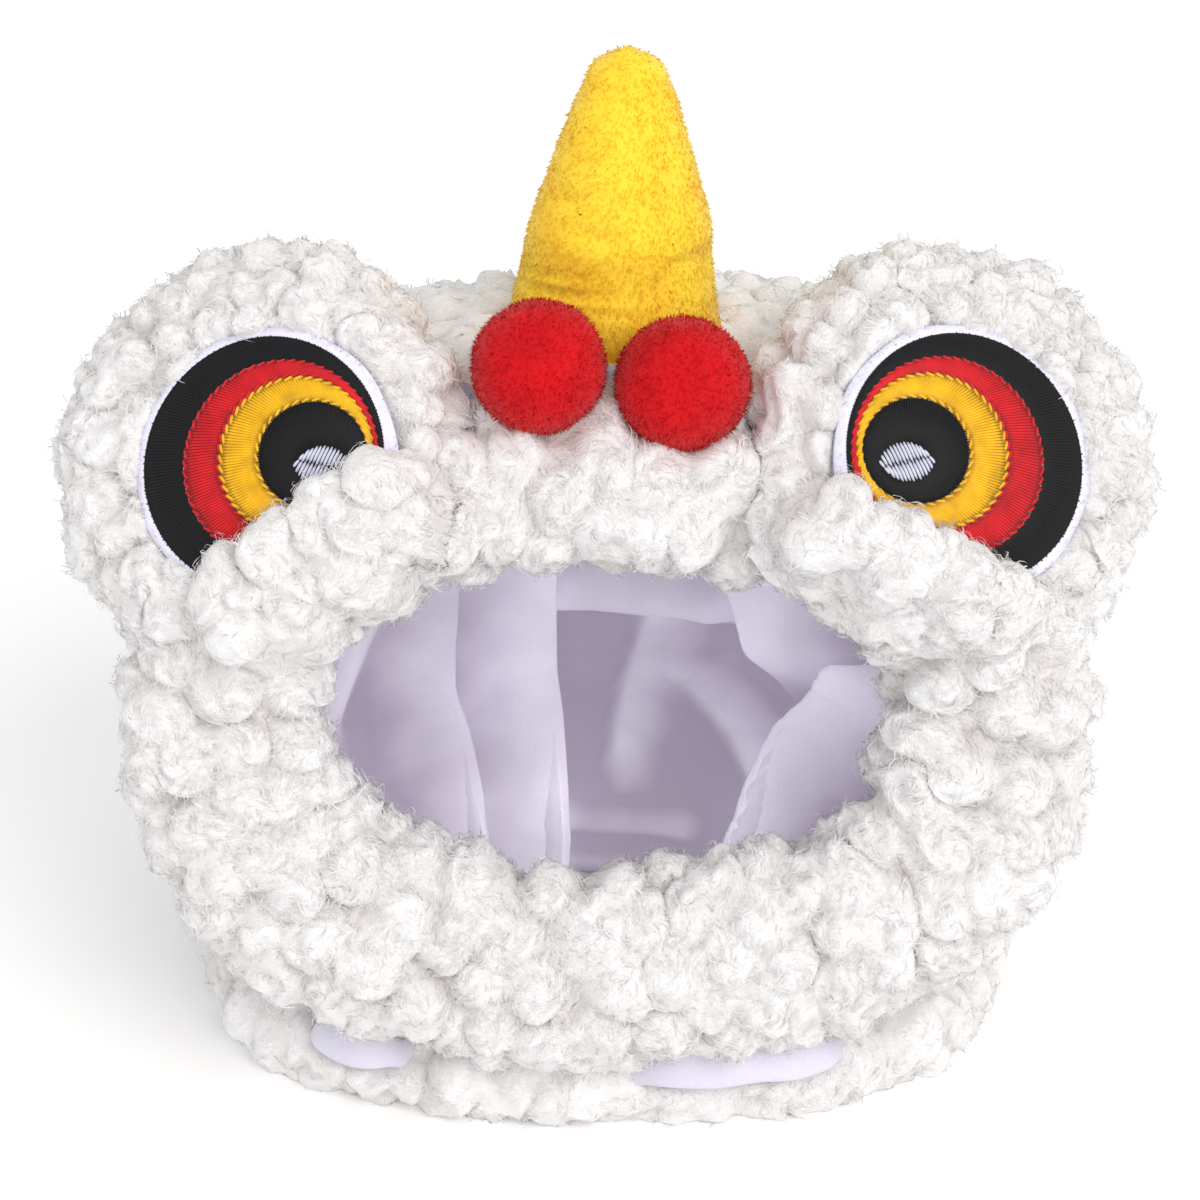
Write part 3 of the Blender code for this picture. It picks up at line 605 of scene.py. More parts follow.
class Neighbours:
    """Tells whether a place is inside or too near the solids of other pieces."""

    def __init__(self, *names: str) -> None:
        """Reads the solids.

        Args:
            names: The CAD nodes' names.
        """
        self.trees = []
        for name in names:
            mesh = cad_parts[name].data
            points = [vert.co.copy() for vert in mesh.vertices]
            faces = [tuple(face.vertices) for face in mesh.polygons]
            self.trees.append(BVHTree.FromPolygons(points, faces))

    @staticmethod
    def _holds(tree: BVHTree, point: Vector) -> bool:
        """Counts where a ray leaves or enters a solid.

        Args:
            tree: The solid's skin.
            point: Where the ray starts.

        Returns:
            Whether it crosses the skin an odd number of times, so that the point is inside.
        """
        crossings, start, past_the_skin = 0, point, RAY * 1e-6
        while True:
            hit, _, _, _ = tree.ray_cast(start, RAY)
            if hit is None:
                return crossings % 2 == 1
            crossings += 1
            start = hit + past_the_skin

    def covers(self, places: Array) -> Array:
        """Finds the places that lie inside a neighbour.

        Args:
            places: The points to test.

        Returns:
            True for each place that is covered.
        """
        points = [Vector(place) for place in places]
        return np.array([any(self._holds(tree, point) for tree in self.trees) for point in points], bool)


def apart(places: Array, spacing: float) -> Array:
    """Thins random places until none are closer than the spacing.

    Args:
        places: Points in random order.
        spacing: The least distance between two, in metres.

    Returns:
        The numbers of the places that are kept.
    """
    kept = np.empty((0,), int)
    for i, place in enumerate(places):
        if len(kept) and (((places[kept] - place) ** 2).sum(axis=1) < spacing**2).any():
            continue
        kept = np.append(kept, i)
    return kept


@dataclass(frozen=True)
class Tufts:
    """The tufts of one pile: where they stand, how each turns and how large it is."""

    centres: Array
    first: Array
    second: Array
    turn: Array
    size: Array
    tall: Array
    arms: Array
    phase: Array
    lean: Array
    waves: Array
    offsets: Array

    @classmethod
    def sow(cls, skin: Surface, spacing: float, lean: float, rng: np.random.Generator) -> "Tufts":
        """Spreads tufts over a skin.

        Args:
            skin: The cloth that they grow from.
            spacing: The least distance between two, in metres.
            lean: How far a tuft's top hangs sideways, in metres.
            rng: The source of chance.

        Returns:
            The tufts.
        """
        tries, droop, chance = 24000, 0.45, 0.6
        corners = skin.spots(tries, rng)
        places, normals = skin.at(skin.points, *corners), unit(skin.at(skin.normals(), *corners))
        kept = apart(places, spacing)
        centres, normals = places[kept], normals[kept]
        count = len(kept)
        hang = np.array([0.0, -0.2, -1.0]) * droop + rng.normal(size=(count, 3)) * chance
        first = unit(hang - normals * (hang * normals).sum(axis=1, keepdims=True))
        return cls(
            centres,
            first,
            np.cross(normals, first),
            rng.choice([-1.0, 1.0], count),
            rng.uniform(0.82, 1.22, count),
            rng.uniform(0.78, 1.14, count),
            rng.integers(1, 4, count).astype(float),
            rng.uniform(0.0, 2 * math.pi, count),
            first * lean * rng.uniform(0.4, 1.4, (count, 1)),
            rng.normal(0, 1.0, (12, 3)),
            rng.uniform(0.0, 2 * math.pi, 12),
        )

    def nearest(self, places: Array, count: int) -> Array:
        """Finds the nearest tufts, some thousands of places at a time to spare memory.

        Args:
            places: The places.
            count: How many tufts for each.

        Returns:
            The tufts' numbers for each place.
        """
        square = (self.centres**2).sum(axis=1)
        picks, batch = [], 4000
        for start in range(0, len(places), batch):
            far = square - 2 * places[start : start + batch] @ self.centres.T
            picks.append(np.argpartition(far, count, axis=1)[:, :count])
        return np.concatenate(picks)

    def noise(self, places: Array, length: float) -> Array:
        """A soft wave of about the given length, from -1 to 1."""
        waves = np.sin(places @ self.waves.T * (2.4 / length) + self.offsets)
        return waves.sum(axis=-1) / 3.4


@dataclass(frozen=True)
class Pile:
    """A deep curly pile: rounded tufts of swirling locks, with loose fibres over them. Lengths are in
    metres. Reach is a tuft's radius as a share of the spacing, merge how sharply two tufts meet, plain
    the middle of a swirl, drift the length over which locks wander, valley how dark the painted shade in
    the valleys between tufts is, and a pair is a least and a most."""

    spacing: float
    height: float
    fibres: int
    reach: float = 0.88
    merge: float = 14.0
    lock: float = 0.0025
    lock_depth: float = 0.0014
    core: float = 0.0006
    plain: float = 0.0022
    drift: float = 0.0045
    crumb: float = 0.0021
    crumb_height: float = 0.0003
    valley: float = 1.35
    lean: float = 0.0020
    width: float = 0.00024
    length: float = 0.0036
    lengths: tuple = (0.6, 1.3)
    curl: tuple = (0.0018, 0.0045)
    lift: tuple = (0.0001, 0.0004)
    bend: float = 0.0065
    stray: float = 0.30
    stray_lift: tuple = (0.0004, 0.0014)
    stray_bend: float = 0.0120
    sink: float = 0.00012
    steps: int = 4

    def sow(self, skin: Surface, seed: int) -> Tufts:
        """Spreads this pile's tufts over a skin."""
        return Tufts.sow(skin, self.spacing, self.lean, np.random.default_rng(seed))

    def coat(self, skin: Surface, tufts: Tufts, share: Array | None = None) -> Surface:
        """Raises a skin into the outer form of the pile.

        Args:
            skin: The cloth under the pile, finely divided.
            tufts: Its tufts.
            share: How much of the pile stands at each point of the skin, 1 for all of it.

        Returns:
            The coat, with painted shade in the valleys between the tufts, marked as deep.
        """
        normals = skin.normals()
        near = tufts.nearest(skin.points, 4)
        offset = skin.points[:, None] - tufts.centres[near]
        reach = self.spacing * self.reach * tufts.size[near]
        distance = np.linalg.norm(offset, axis=2)
        dome = np.sqrt(np.clip(1 - (distance / reach) ** 2, 0.03, 1.0)) * tufts.tall[near]
        weight = np.exp(self.merge * (dome - dome.max(axis=1, keepdims=True)))
        weight /= weight.sum(axis=1, keepdims=True)
        level = (dome * weight).sum(axis=1)
        _, ridge = self._swirl(offset, near, tufts, skin.points)
        ridge = (ridge * weight).sum(axis=1)
        crumbs = tufts.noise(skin.points, self.crumb)
        rise = self.height * level + self.lock_depth * (ridge - 0.5) + self.crumb_height * crumbs
        hang = (tufts.lean[near] * weight[..., None]).sum(axis=1) * (level**2)[:, None]
        share = 1.0 if share is None else share[:, None]
        points = skin.points + share * (normals * rise[:, None] + hang)
        # Painted shade: the valleys between the tufts and between the locks take the deep colour.
        deep = np.clip(self.valley - self.valley * level + 0.5 * (0.5 - ridge), 0.0, 1.0)
        return Surface(points, skin.triangles, deep)

    def _swirl(self, offset: Array, near: Array, tufts: Tufts, places: Array) -> tuple[Array, Array]:
        """How the locks of a tuft turn round its middle.

        Args:
            offset: From the tufts' middles to the places.
            near: The tufts' numbers.
            tufts: All the tufts.
            places: The places.

        Returns:
            The locks' direction at each place, and their height there from 0 to 1.
        """
        a = (offset * tufts.first[near]).sum(axis=-1)
        b = (offset * tufts.second[near]).sum(axis=-1)
        radius = np.maximum(np.hypot(a, b), self.core)
        pitch = tufts.turn[near] * 2 * math.pi * 0.6 / self.lock
        wave = tufts.noise(places, self.drift).reshape((-1,) + (1,) * (radius.ndim - 1))
        phase = tufts.arms[near] * np.arctan2(b, a) + pitch * radius + tufts.phase[near] + 1.2 * wave
        fade = np.clip(radius / self.plain, 0.0, 1.0)
        ridge = 0.6 + (0.5 * np.cos(phase) - 0.1) * fade
        a, b = (part[..., None] / radius[..., None] for part in (a, b))
        outward = a * tufts.first[near] + b * tufts.second[near]
        round_middle = a * tufts.second[near] - b * tufts.first[near]
        course = pitch[..., None] * round_middle - (tufts.arms[near] / radius)[..., None] * outward
        return unit(course), ridge

    def loose(
        self, skin: Surface, coat: Surface, tufts: Tufts, seed: int, count: int | None = None
    ) -> Surface:
        """Lays loose fibres along the locks, some of which leave the coat.

        Args:
            skin: The cloth under the pile.
            coat: The raised form, with the same points.
            tufts: Its tufts.
            seed: The seed of the chance in the fibres.
            count: How many fibres, or None for the pile's own number.

        Returns:
            The fibres as one surface.
        """
        rng = np.random.default_rng(seed)
        corners = coat.spots(self.fibres if count is None else count, rng)
        under = coat.at(skin.points, *corners)
        place, normal = coat.at(coat.points, *corners), unit(coat.at(coat.normals(), *corners))
        root_shade = coat.at(coat.depth[:, None], *corners)
        near = tufts.nearest(under, 1)[:, 0]
        course, _ = self._swirl(under - tufts.centres[near], near, tufts, under)
        course = course * rng.choice([-1.0, 1.0], (len(place), 1)) + rng.normal(0, 0.30, place.shape)
        course = unit(course - normal * (course * normal).sum(axis=1, keepdims=True))
        stray = rng.random((len(place), 1)) < self.stray
        length = self.length * rng.uniform(*self.lengths, (len(place), 1)) * np.where(stray, 0.85, 1.0)
        stride = length / (self.steps - 1)
        bend = stride / np.where(stray, self.stray_bend, self.bend)
        curl = tufts.turn[near][:, None] * stride / rng.uniform(*self.curl, (len(place), 1))
        rise = rng.uniform(*self.lift, (len(place), 1))
        rise = np.where(stray, rng.uniform(*self.stray_lift, (len(place), 1)), rise)
        spot = place - normal * self.sink
        paths, forms = [spot], [normal]
        for step in range(1, self.steps):
            course = unit(course + np.cross(normal, course) * curl)
            course, normal = unit(course - normal * bend), unit(normal + course * bend)
            spot = spot + course * stride
            paths.append(spot + normal * rise * (1.0 if step < self.steps - 1 else 0.6))
            forms.append(normal)
        paths, forms = np.stack(paths, axis=1), np.stack(forms, axis=1)
        forms = unit(forms + rng.normal(0, 0.30, (len(place), 1, 3)))
        taper = np.interp(np.linspace(0, 1, self.steps), [0, 0.3, 0.7, 1], [0.5, 1.0, 0.8, 0.1])
        widths = self.width * rng.uniform(0.6, 1.35, (len(place), 1)) * taper * np.where(stray, 0.7, 1.0)
        # Painted shade: each fibre takes the coat's shade at its root, with some random tone.
        deep = np.clip(root_shade * 0.55 + rng.normal(0, 0.16, root_shade.shape), 0.0, 1.0).repeat(self.steps, axis=1)
        return ribbons(paths, forms, widths, deep, forms)


@dataclass(frozen=True)
class Nap:
    """A short cut pile. Lengths are in metres."""

    length: float
    width: float
    count: int
    lie: tuple
    spread: float

    def grow(self, skin: Surface, seed: int, bare: Neighbours | None = None) -> Surface:
        """Covers a skin with short fibres.

        Args:
            skin: What the pile is fixed to.
            seed: The seed of the chance in it.
            bare: Pieces that cover the skin, where no pile grows.

        Returns:
            The fibres as one surface.
        """
        rng = np.random.default_rng(seed)
        corners = skin.spots(self.count, rng)
        places, normals = skin.at(skin.points, *corners), unit(skin.at(skin.normals(), *corners))
        if bare:
            free = ~bare.covers(places)
            places, normals = places[free], normals[free]
        lean = unit(normals + np.array(self.lie) + rng.normal(0, self.spread, places.shape))
        bend = unit(lean + np.array(self.lie) * 0.6 + rng.normal(0, self.spread * 0.7, places.shape))
        length = self.length * rng.uniform(0.6, 1.25, (len(places), 1))
        root = places - normals * self.length * 0.15
        paths = np.stack([root, root + lean * length * 0.55, root + (lean * 0.55 + bend * 0.45) * length], 1)
        facing = unit(normals + rng.normal(0, 0.25, normals.shape))[:, None].repeat(3, 1)
        widths = self.width * rng.uniform(0.7, 1.3, (len(places), 1)) * np.array([1.0, 0.8, 0.1])
        # Painted shade: each fibre is darker at its root, among the other fibres.
        deep = np.array([0.4, 0.15, 0.0]) + rng.normal(0, 0.10, (len(places), 1))
        return ribbons(paths, facing, widths, np.clip(deep, 0.0, 1.0), normals[:, None].repeat(3, 1))


# Hood sections from the crown down: turn is the angle from the crown in degrees, the rest are shares of
# the hood's height, half width, front reach and back reach
Section = namedtuple("Section", "turn height width front back")
HOOD_SECTIONS = [
    Section(0, 1.000, 0.00, 0.00, 0.00),
    Section(18, 0.984, 0.37, 0.50, 0.25),
    Section(36, 0.930, 0.66, 0.79, 0.46),
    Section(54, 0.836, 0.84, 0.93, 0.66),
    Section(72, 0.695, 0.95, 0.98, 0.83),
    Section(90, 0.531, 1.00, 1.00, 0.94),
    Section(108, 0.367, 1.00, 0.98, 1.00),
    Section(126, 0.227, 0.98, 0.94, 0.98),
    Section(144, 0.112, 0.94, 0.90, 0.88),
    Section(158, 0.048, 0.86, 0.83, 0.72),
    Section(170, 0.016, 0.60, 0.56, 0.48),
    Section(180, 0.000, 0.00, 0.00, 0.00),
]


@dataclass(frozen=True)
class Hood:
    """The bag over the head. Lengths are in metres, over the tips of its curls."""

    width: float = 0.166
    height: float = 0.128
    front: float = 0.062
    back: float = 0.067
    squareness: float = 2.2
    pile: float = 0.0052
    curls: Pile = Pile(spacing=0.0072, height=0.0058, fibres=11500)
    rings: int = 150
    columns: int = 300
    underside: float = 0.009

    def point(self, turn: Array, bearing: Array, inset: float = 0.0) -> Array:
        """A point of the hood's surface.

        Args:
            turn: Down from the crown, in radians.
            bearing: Round from the middle of the back, in radians.
            inset: How far inside the surface.

        Returns:
            The points.
        """
        degrees = np.degrees(turn)
        height, width, front, back = (
            smooth(column(HOOD_SECTIONS, "turn"), column(HOOD_SECTIONS, name), degrees)
            for name in ("height", "width", "front", "back")
        )
        across = power(np.sin(bearing), self.squareness)
        along = power(np.cos(bearing), self.squareness)
        reach = np.where(along > 0, self.back * back, self.front * front)
        point = stack(self.width / 2 * width * across, reach * along, self.height * height)
        middle = np.array([0.0, 0.0, self.height / 2])
        return MIDDLE + point - unit(point - middle) * inset

    def crown_height(self, x: float, y: float) -> float:
        """Finds the upper surface above a place of the hat's own floor plan.

        Args:
            x: To the picture's right.
            y: To the back.

        Returns:
            Its height.
        """
        turns = np.linspace(0.0, math.pi / 2, 400)
        ring = self.point(turns, np.full(turns.shape, math.atan2(x, y))) - MIDDLE
        return float(np.interp(math.hypot(x, y), np.hypot(ring[:, 0], ring[:, 1]), ring[:, 2]))

    def skin(self) -> Surface:
        """Makes the cloth that the curls grow from.

        Returns:
            The cloth, closed all round.
        """
        turn, bearing = lattice(np.linspace(0.0, math.pi, self.rings)[1:-1], ring_angles(self.columns))
        ends = (self.point(np.array(t), np.array(0.0), self.pile) for t in (0.0, math.pi))
        return Surface.loft(self.point(turn, bearing, self.pile), *ends)

    def build(self, face: "FaceRuff") -> None:
        """Makes the curly hood, open at the face and at the neck.

        Args:
            face: The ruff, which the opening lies behind.
        """
        skin = self.skin()
        tufts = self.curls.sow(skin, seed=31)
        middles = skin.middles()
        shown = (face.forward(middles) < face.back_depth * -0.3) & (middles[:, 2] > self.underside)
        coat = self.curls.coat(skin, tufts).kept(shown)
        coat = coat.uncovered("face_ruff", "neck_hem", "eye_pad_left", "eye_pad_right", "horn")
        curls = coat.joined(self.curls.loose(skin, coat, tufts, seed=32)).trimmed()
        curls.dress("hood_fleece", CURLY_SHERPA, "white_curly_fleece", "hood_shell")


@dataclass(frozen=True)
class FaceRuff:
    """The face opening and the padded roll round it. Lengths are in metres."""

    hood: Hood
    tilt: float = math.radians(17)
    setback: float = 0.043
    centre_height: float = 0.0715
    opening_width: float = 0.091
    opening_height: float = 0.049
    squareness: float = 2.3
    inset: float = 0.002
    top_roll: float = 0.0295
    chin_roll: float = 0.036
    depth: float = 0.013
    back_depth: float = 0.009
    section_squareness: float = 2.3
    pile: float = 0.0046
    curls: Pile = Pile(spacing=0.0074, height=0.0058, fibres=13500)
    tops: int = 36000
    swell_fibres: int = 2600
    rings: int = 370
    columns: int = 90

    def point(self, across: Array, up: Array, forward: Array) -> Array:
        """Places a point from the opening's own tilted axes.

        Args:
            across: To the picture's right.
            up: Up the opening's plane.
            forward: Out of it.

        Returns:
            The points.
        """
        y = -self.setback + up * math.sin(self.tilt) - forward * math.cos(self.tilt)
        z = self.centre_height + up * math.cos(self.tilt) + forward * math.sin(self.tilt)
        return MIDDLE + stack(across, y, z)

    def forward(self, places: Array) -> Array:
        """Measures from the opening's middle plane.

        Args:
            places: The places.

        Returns:
            How far each lies in front of it.
        """
        y = places[:, 1] - MIDDLE[1] + self.setback
        z = places[:, 2] - self.centre_height
        return z * math.sin(self.tilt) - y * math.cos(self.tilt)

    def roll_point(self, angle: Array, turn: Array, inset: float = 0.0) -> Array:
        """A point of the roll.

        Args:
            angle: Where round the face.
            turn: Where round the roll, from its outer side towards the front.
            inset: How far inside the outline.

        Returns:
            The points.
        """
        side_roll = (self.hood.width - self.opening_width) / 4 - self.inset / 2
        half_width = self.opening_width / 2 + side_roll
        up = (self.opening_height + self.top_roll) / 2
        down = (self.opening_height + self.chin_roll) / 2
        x, y, nx, ny = oval(angle, half_width, up, down, self.squareness)
        end_roll = np.where(ny > 0, self.top_roll / 2, self.chin_roll / 2)
        roll = side_roll + (end_roll - side_roll) * ny * ny - inset
        lateral = roll * power(np.cos(turn), self.section_squareness)
        depth = np.where(np.sin(turn) > 0, self.depth, self.back_depth) - inset
        forward = depth * power(np.sin(turn), self.section_squareness)
        return self.point(x + nx * lateral, y + ny * lateral, forward)

    def skin(self) -> Surface:
        """The cloth of the roll."""
        angle, turn = lattice(ring_angles(self.rings), ring_angles(self.columns))
        return Surface.from_grid(self.roll_point(angle, turn, self.pile), close_rows=True).outward()

    def build(self, pads: list) -> None:
        """Makes the ruff: its coat, and a second piece of finer fibres over it.

        Args:
            pads: The eye pads, which the ruff swells over.
        """
        skin = self.skin()
        tufts = self.curls.sow(skin, seed=41)
        shown = self.forward(skin.middles()) > -self.back_depth * 0.9
        coat = self.curls.coat(skin, tufts).kept(shown)
        coat = coat.uncovered("hood_shell", "neck_hem", "eye_pad_left", "eye_pad_right")
        swells = []
        for pad in pads:
            brow, share = pad.brow()
            over = pad.curls.sow(brow, seed=44)
            raised = self.curls.coat(brow, over, share)
            swells += [raised, self.curls.loose(brow, raised, over, seed=45, count=self.swell_fibres)]
        curls = coat.joined(self.curls.loose(skin, coat, tufts, seed=42), *swells).trimmed()
        curls.dress("face_ruff_fleece", CURLY_SHERPA, "white_curly_fleece", "face_ruff")
        tops = self.curls.loose(skin, coat, tufts, seed=43, count=self.tops)
        tops.dress("face_ruff_curl_tops", CURLY_SHERPA, "white_curly_fleece", "face_ruff")


@dataclass(frozen=True)
class NeckHem:
    """The curly roll round the neck opening. Lengths are in metres."""

    width: float = 0.104
    length: float = 0.062
    forward: float = 0.010
    squareness: float = 2.5
    roll: float = 0.021
    height: float = 0.015
    flat: float = 0.0035
    section_squareness: float = 2.2
    pile: float = 0.0040
    curls: Pile = Pile(spacing=0.0066, height=0.0052, fibres=13500)
    rings: int = 320
    columns: int = 56
    table: float = 0.0002

    def point(self, angle: Array, turn: Array, inset: float = 0.0) -> Array:
        """A point of the hem.

        Args:
            angle: Where round the neck.
            turn: Where round the roll, from its outer side upwards.
            inset: How far inside the outline.

        Returns:
            The points.
        """
        half_width, half_length = (self.width + self.roll) / 2, (self.length + self.roll) / 2
        x, y, nx, ny = oval(angle, half_width, half_length, half_length, self.squareness)
        lateral = (self.roll / 2 - inset) * power(np.cos(turn), self.section_squareness)
        middle = self.height / 2
        rise = (middle - inset + np.where(np.sin(turn) < 0, self.flat, 0.0)) * np.sin(turn)
        z = np.maximum(middle + rise, inset * 0.2)
        return MIDDLE + stack(x + nx * lateral, y + ny * lateral - self.forward, z)

    def build(self, facing: "HemFacing") -> None:
        """Makes the curly hem.

        Args:
            facing: The strip of lining, which the curls leave free where it shows.
        """
        angle, turn = lattice(ring_angles(self.rings), ring_angles(self.columns))
        skin = Surface.from_grid(self.point(angle, turn, self.pile), close_rows=True).outward()
        tufts = self.curls.sow(skin, seed=51)
        share = np.clip(1.6 + skin.normals()[:, 2], 0.3, 1.0)
        height = (np.mod(turn, 2 * math.pi) - facing.rise) / 0.6
        share *= 1 - (facing.shown(angle - 2 * math.pi) * np.exp(-(height**4))).ravel()
        coat = self.curls.coat(skin, tufts, share).uncovered("hood_shell", "face_ruff")
        piece = coat.joined(self.curls.loose(skin, coat, tufts, seed=52)).trimmed()
        piece.points[:, 2] = np.maximum(piece.points[:, 2], self.table)
        piece.dress("neck_hem_fleece", CURLY_SHERPA, "white_curly_fleece", "neck_hem")


# Outlines sewn on each felt patch: the centre's shift towards the horn and upwards, the half width and
# half height, all as shares of the eye's radius, then how many stitches go round, how many lie end to end
# across the band, and whether the edge is oversewn
Outline = namedtuple("Outline", "name inward upward half_width half_height around rows edged")
EYE_OUTLINES = [
    Outline("black_ring", 0.00, 0.00, 1.00, 1.00, 230, 1, False),
    Outline("red_ring", 0.155, 0.04, 0.80, 0.79, 190, 1, True),
    Outline("gold_ring", 0.28, 0.10, 0.625, 0.62, 150, 1, True),
    Outline("pupil", 0.42, 0.13, 0.44, 0.42, 120, 1, False),
    Outline("glint", 0.53, 0.06, 0.205, 0.155, 0, 2, False),
]
EYE_FINISHES = {
    "black_ring": (BLACK_RAYON, "black_thread"),
    "red_ring": (RED_RAYON, "red_thread"),
    "gold_ring": (GOLD_RAYON, "gold_thread"),
    "pupil": (BLACK_RAYON, "black_thread"),
    "glint": (PALE_RAYON, "pale_thread"),
}


@dataclass(frozen=True)
class Brow:
    """The roll of the ruff over an eye's lower inner edge. Lengths are in metres: the waves are how far
    its edges wander, rise and fall how far in from them it has its full height, and tuck how deep its
    rim goes into the ruff."""

    half: float = 0.0225
    lift: float = 0.0012
    past_felt: float = 0.0055
    near_waves: tuple = (0.0009, 0.0006)
    far_wave: float = 0.0012
    rise: float = 0.0045
    fall: float = 0.006
    tuck: float = 0.004
    rows: int = 46
    columns: int = 90


@dataclass(frozen=True)
class EyePad:
    """One stuffed eye pad with its felt and its embroidery. Lengths are in metres."""

    face: FaceRuff
    side: Side
    eye_shift: float
    radius: float = 0.0355
    half_thickness: float = 0.0135
    squareness: float = 2.6
    bearing: float = math.radians(49)
    overhang: float = 0.001
    setback: float = 0.003
    yaw: float = math.radians(25)
    look_up: float = math.radians(37)
    felt_radius: float = 0.0222
    felt_thickness: float = 0.0012
    gap: float = 0.0003
    thread: float = 0.00045
    eye_radius: float = 0.0206
    eye_drop: float = 0.0028
    cover: float = 0.006
    cover_slope: float = math.radians(54)
    swell: float = 0.0025
    pile: float = 0.0042
    curls: Pile = Pile(spacing=0.0058, height=0.0050, fibres=11000)
    rings: int = 84
    columns: int = 170
    roll: Brow = Brow()
    felt_columns: int = 96
    felt_bevel: float = 0.0004
    felt_wobble: float = 0.006
    felt_overlap: float = 0.0020
    felt_fade: float = 0.0026
    fuzz: Nap = Nap(length=0.0008, width=0.00014, count=1800, lie=(0.0, 0.0, 0.0), spread=0.9)
    glint_threads: int = 14
    glint_slant: float = 0.0006
    edging_stitch: float = 0.0017
    edging_out: float = 0.0002
    edging_in: float = 0.0005
    layer: float = 0.00006
    backing_lift: float = 0.0001

    def axes(self) -> tuple[Array, Array, Array, Array]:
        """Works out how the pad stands.

        Returns:
            Its middle, and its directions towards the horn, upwards and outwards.
        """
        face, hood = self.face, self.face.hood
        width, height = hood.width / 2 - face.inset, face.opening_height / 2 + face.top_roll
        x, y, nx, ny = oval(np.array(self.bearing), width, height, height, face.squareness)
        sign = self.side.value
        out = self.overhang
        centre = face.point(sign * (x + nx * out), y + ny * out, -self.setback)
        level, rise = math.cos(self.look_up), math.sin(self.look_up)
        facing = np.array([sign * math.sin(self.yaw) * level, -math.cos(self.yaw) * level, rise])
        inward = unit(np.cross(facing, np.array([0.0, 0.0, 1.0])) * sign)
        return centre, inward, unit(np.cross(inward, facing) * sign), facing

    def point(self, inward: Array, upward: Array, forward: Array) -> Array:
        """Places a point from the pad's own axes.

        Args:
            inward: Towards the horn.
            upward: Up the pad's plane.
            forward: Out of it.

        Returns:
            The points.
        """
        centre, *directions = self.axes()
        parts = np.broadcast_arrays(inward, upward, forward)
        return centre + sum(p[..., None] * d for p, d in zip(parts, directions))

    def dome(self, radius: Array, inset: float = 0.0) -> Array:
        """Height of the pad's front over its middle plane at a distance from its centre."""
        share = np.clip(radius / (self.radius - inset), 0.0, 1.0)
        return (self.half_thickness - inset) * (1 - share**self.squareness) ** (1 / self.squareness)

    def on_eye(self, inward: Array, upward: Array, lift: Array) -> Array:
        """Places a point over the pad's front.

        Args:
            inward: From the eye's middle towards the horn.
            upward: From the eye's middle up the pad's plane.
            lift: Over the pad's dome.

        Returns:
            The points.
        """
        inward, upward = inward + self.eye_shift, upward - self.eye_drop
        return self.point(inward, upward, self.dome(np.hypot(inward, upward)) + lift)

    def brow(self) -> tuple[Surface, Array]:
        """The ruff's swell over the lower inner edge of the eye.

        Returns:
            The swell's skin, and how much of the pile stands at each of its points.
        """
        roll = self.roll
        u, t = lattice(np.linspace(0.0, 1.0, roll.rows), np.linspace(-roll.half, roll.half, roll.columns))
        slow, fast = roll.near_waves
        first = self.cover + slow * np.sin(t * 620 + 1.0) + fast * np.sin(t * 1130)
        reach = self.felt_radius + roll.past_felt + roll.far_wave * np.sin(t * 480)
        s = first + (reach - first) * u
        inward = math.cos(self.cover_slope) * s + math.sin(self.cover_slope) * t
        upward = -math.sin(self.cover_slope) * s + math.cos(self.cover_slope) * t
        share = np.clip((s - first) / roll.rise, 0.0, 1.0)
        ends = np.clip((1 - np.abs(t) / roll.half) * 4, 0.0, 1.0)
        ends = ends * np.clip((reach - s) / roll.fall, 0.0, 1.0)
        lift = roll.lift + self.swell * np.sqrt(1 - (1 - share) ** 2) * ends - roll.tuck * (1 - ends)
        skin = Surface.from_grid(self.on_eye(inward, upward, lift), close_rows=False, close_columns=False)
        if (skin.normals().mean(axis=0) * self.axes()[3]).sum() < 0:
            skin.triangles = skin.triangles[:, ::-1]
        return skin, (np.clip(0.15 + share * 1.4, 0.0, 1.0) * ends).ravel()

    def build(self) -> None:
        """Makes the pad, its felt and its embroidery."""
        self._pillow()
        self._felt()
        for level in range(len(EYE_OUTLINES)):
            self._embroidery(level)

    def _pillow(self) -> None:
        """The curly pillow."""
        turn, bearing = lattice(np.linspace(0.0, math.pi, self.rings)[1:-1], ring_angles(self.columns))
        thickness = self.half_thickness - self.pile * 0.35
        radius = (self.radius - self.pile) * power(np.sin(turn), self.squareness)
        height = thickness * power(np.cos(turn), self.squareness)
        grid = self.point(radius * np.cos(bearing), radius * np.sin(bearing), height)
        ends = (self.point(np.array(0.0), np.array(0.0), np.array(h)) for h in (thickness, -thickness))
        skin = Surface.loft(grid, *ends)
        tufts = self.curls.sow(skin, seed=61 + self.side.value)
        centre, inward, upward, facing = self.axes()
        local = skin.points - centre
        across = np.hypot(local @ inward - self.eye_shift, local @ upward + self.eye_drop)
        share = np.clip((across - self.felt_radius + self.felt_overlap) / self.felt_fade, 0.0, 1.0)
        share = np.where(local @ facing > 0, share, 1.0)
        coat = self.curls.coat(skin, tufts, share).kept(share[skin.triangles].mean(axis=1) > 0.02)
        coat = coat.uncovered("hood_shell", "face_ruff")
        name = f"eye_pad_{self.side.word}"
        piece = coat.joined(self.curls.loose(skin, coat, tufts, seed=63 + self.side.value)).trimmed()
        piece = piece.dress(f"{name}_fleece", CURLY_SHERPA, "white_curly_fleece", name)

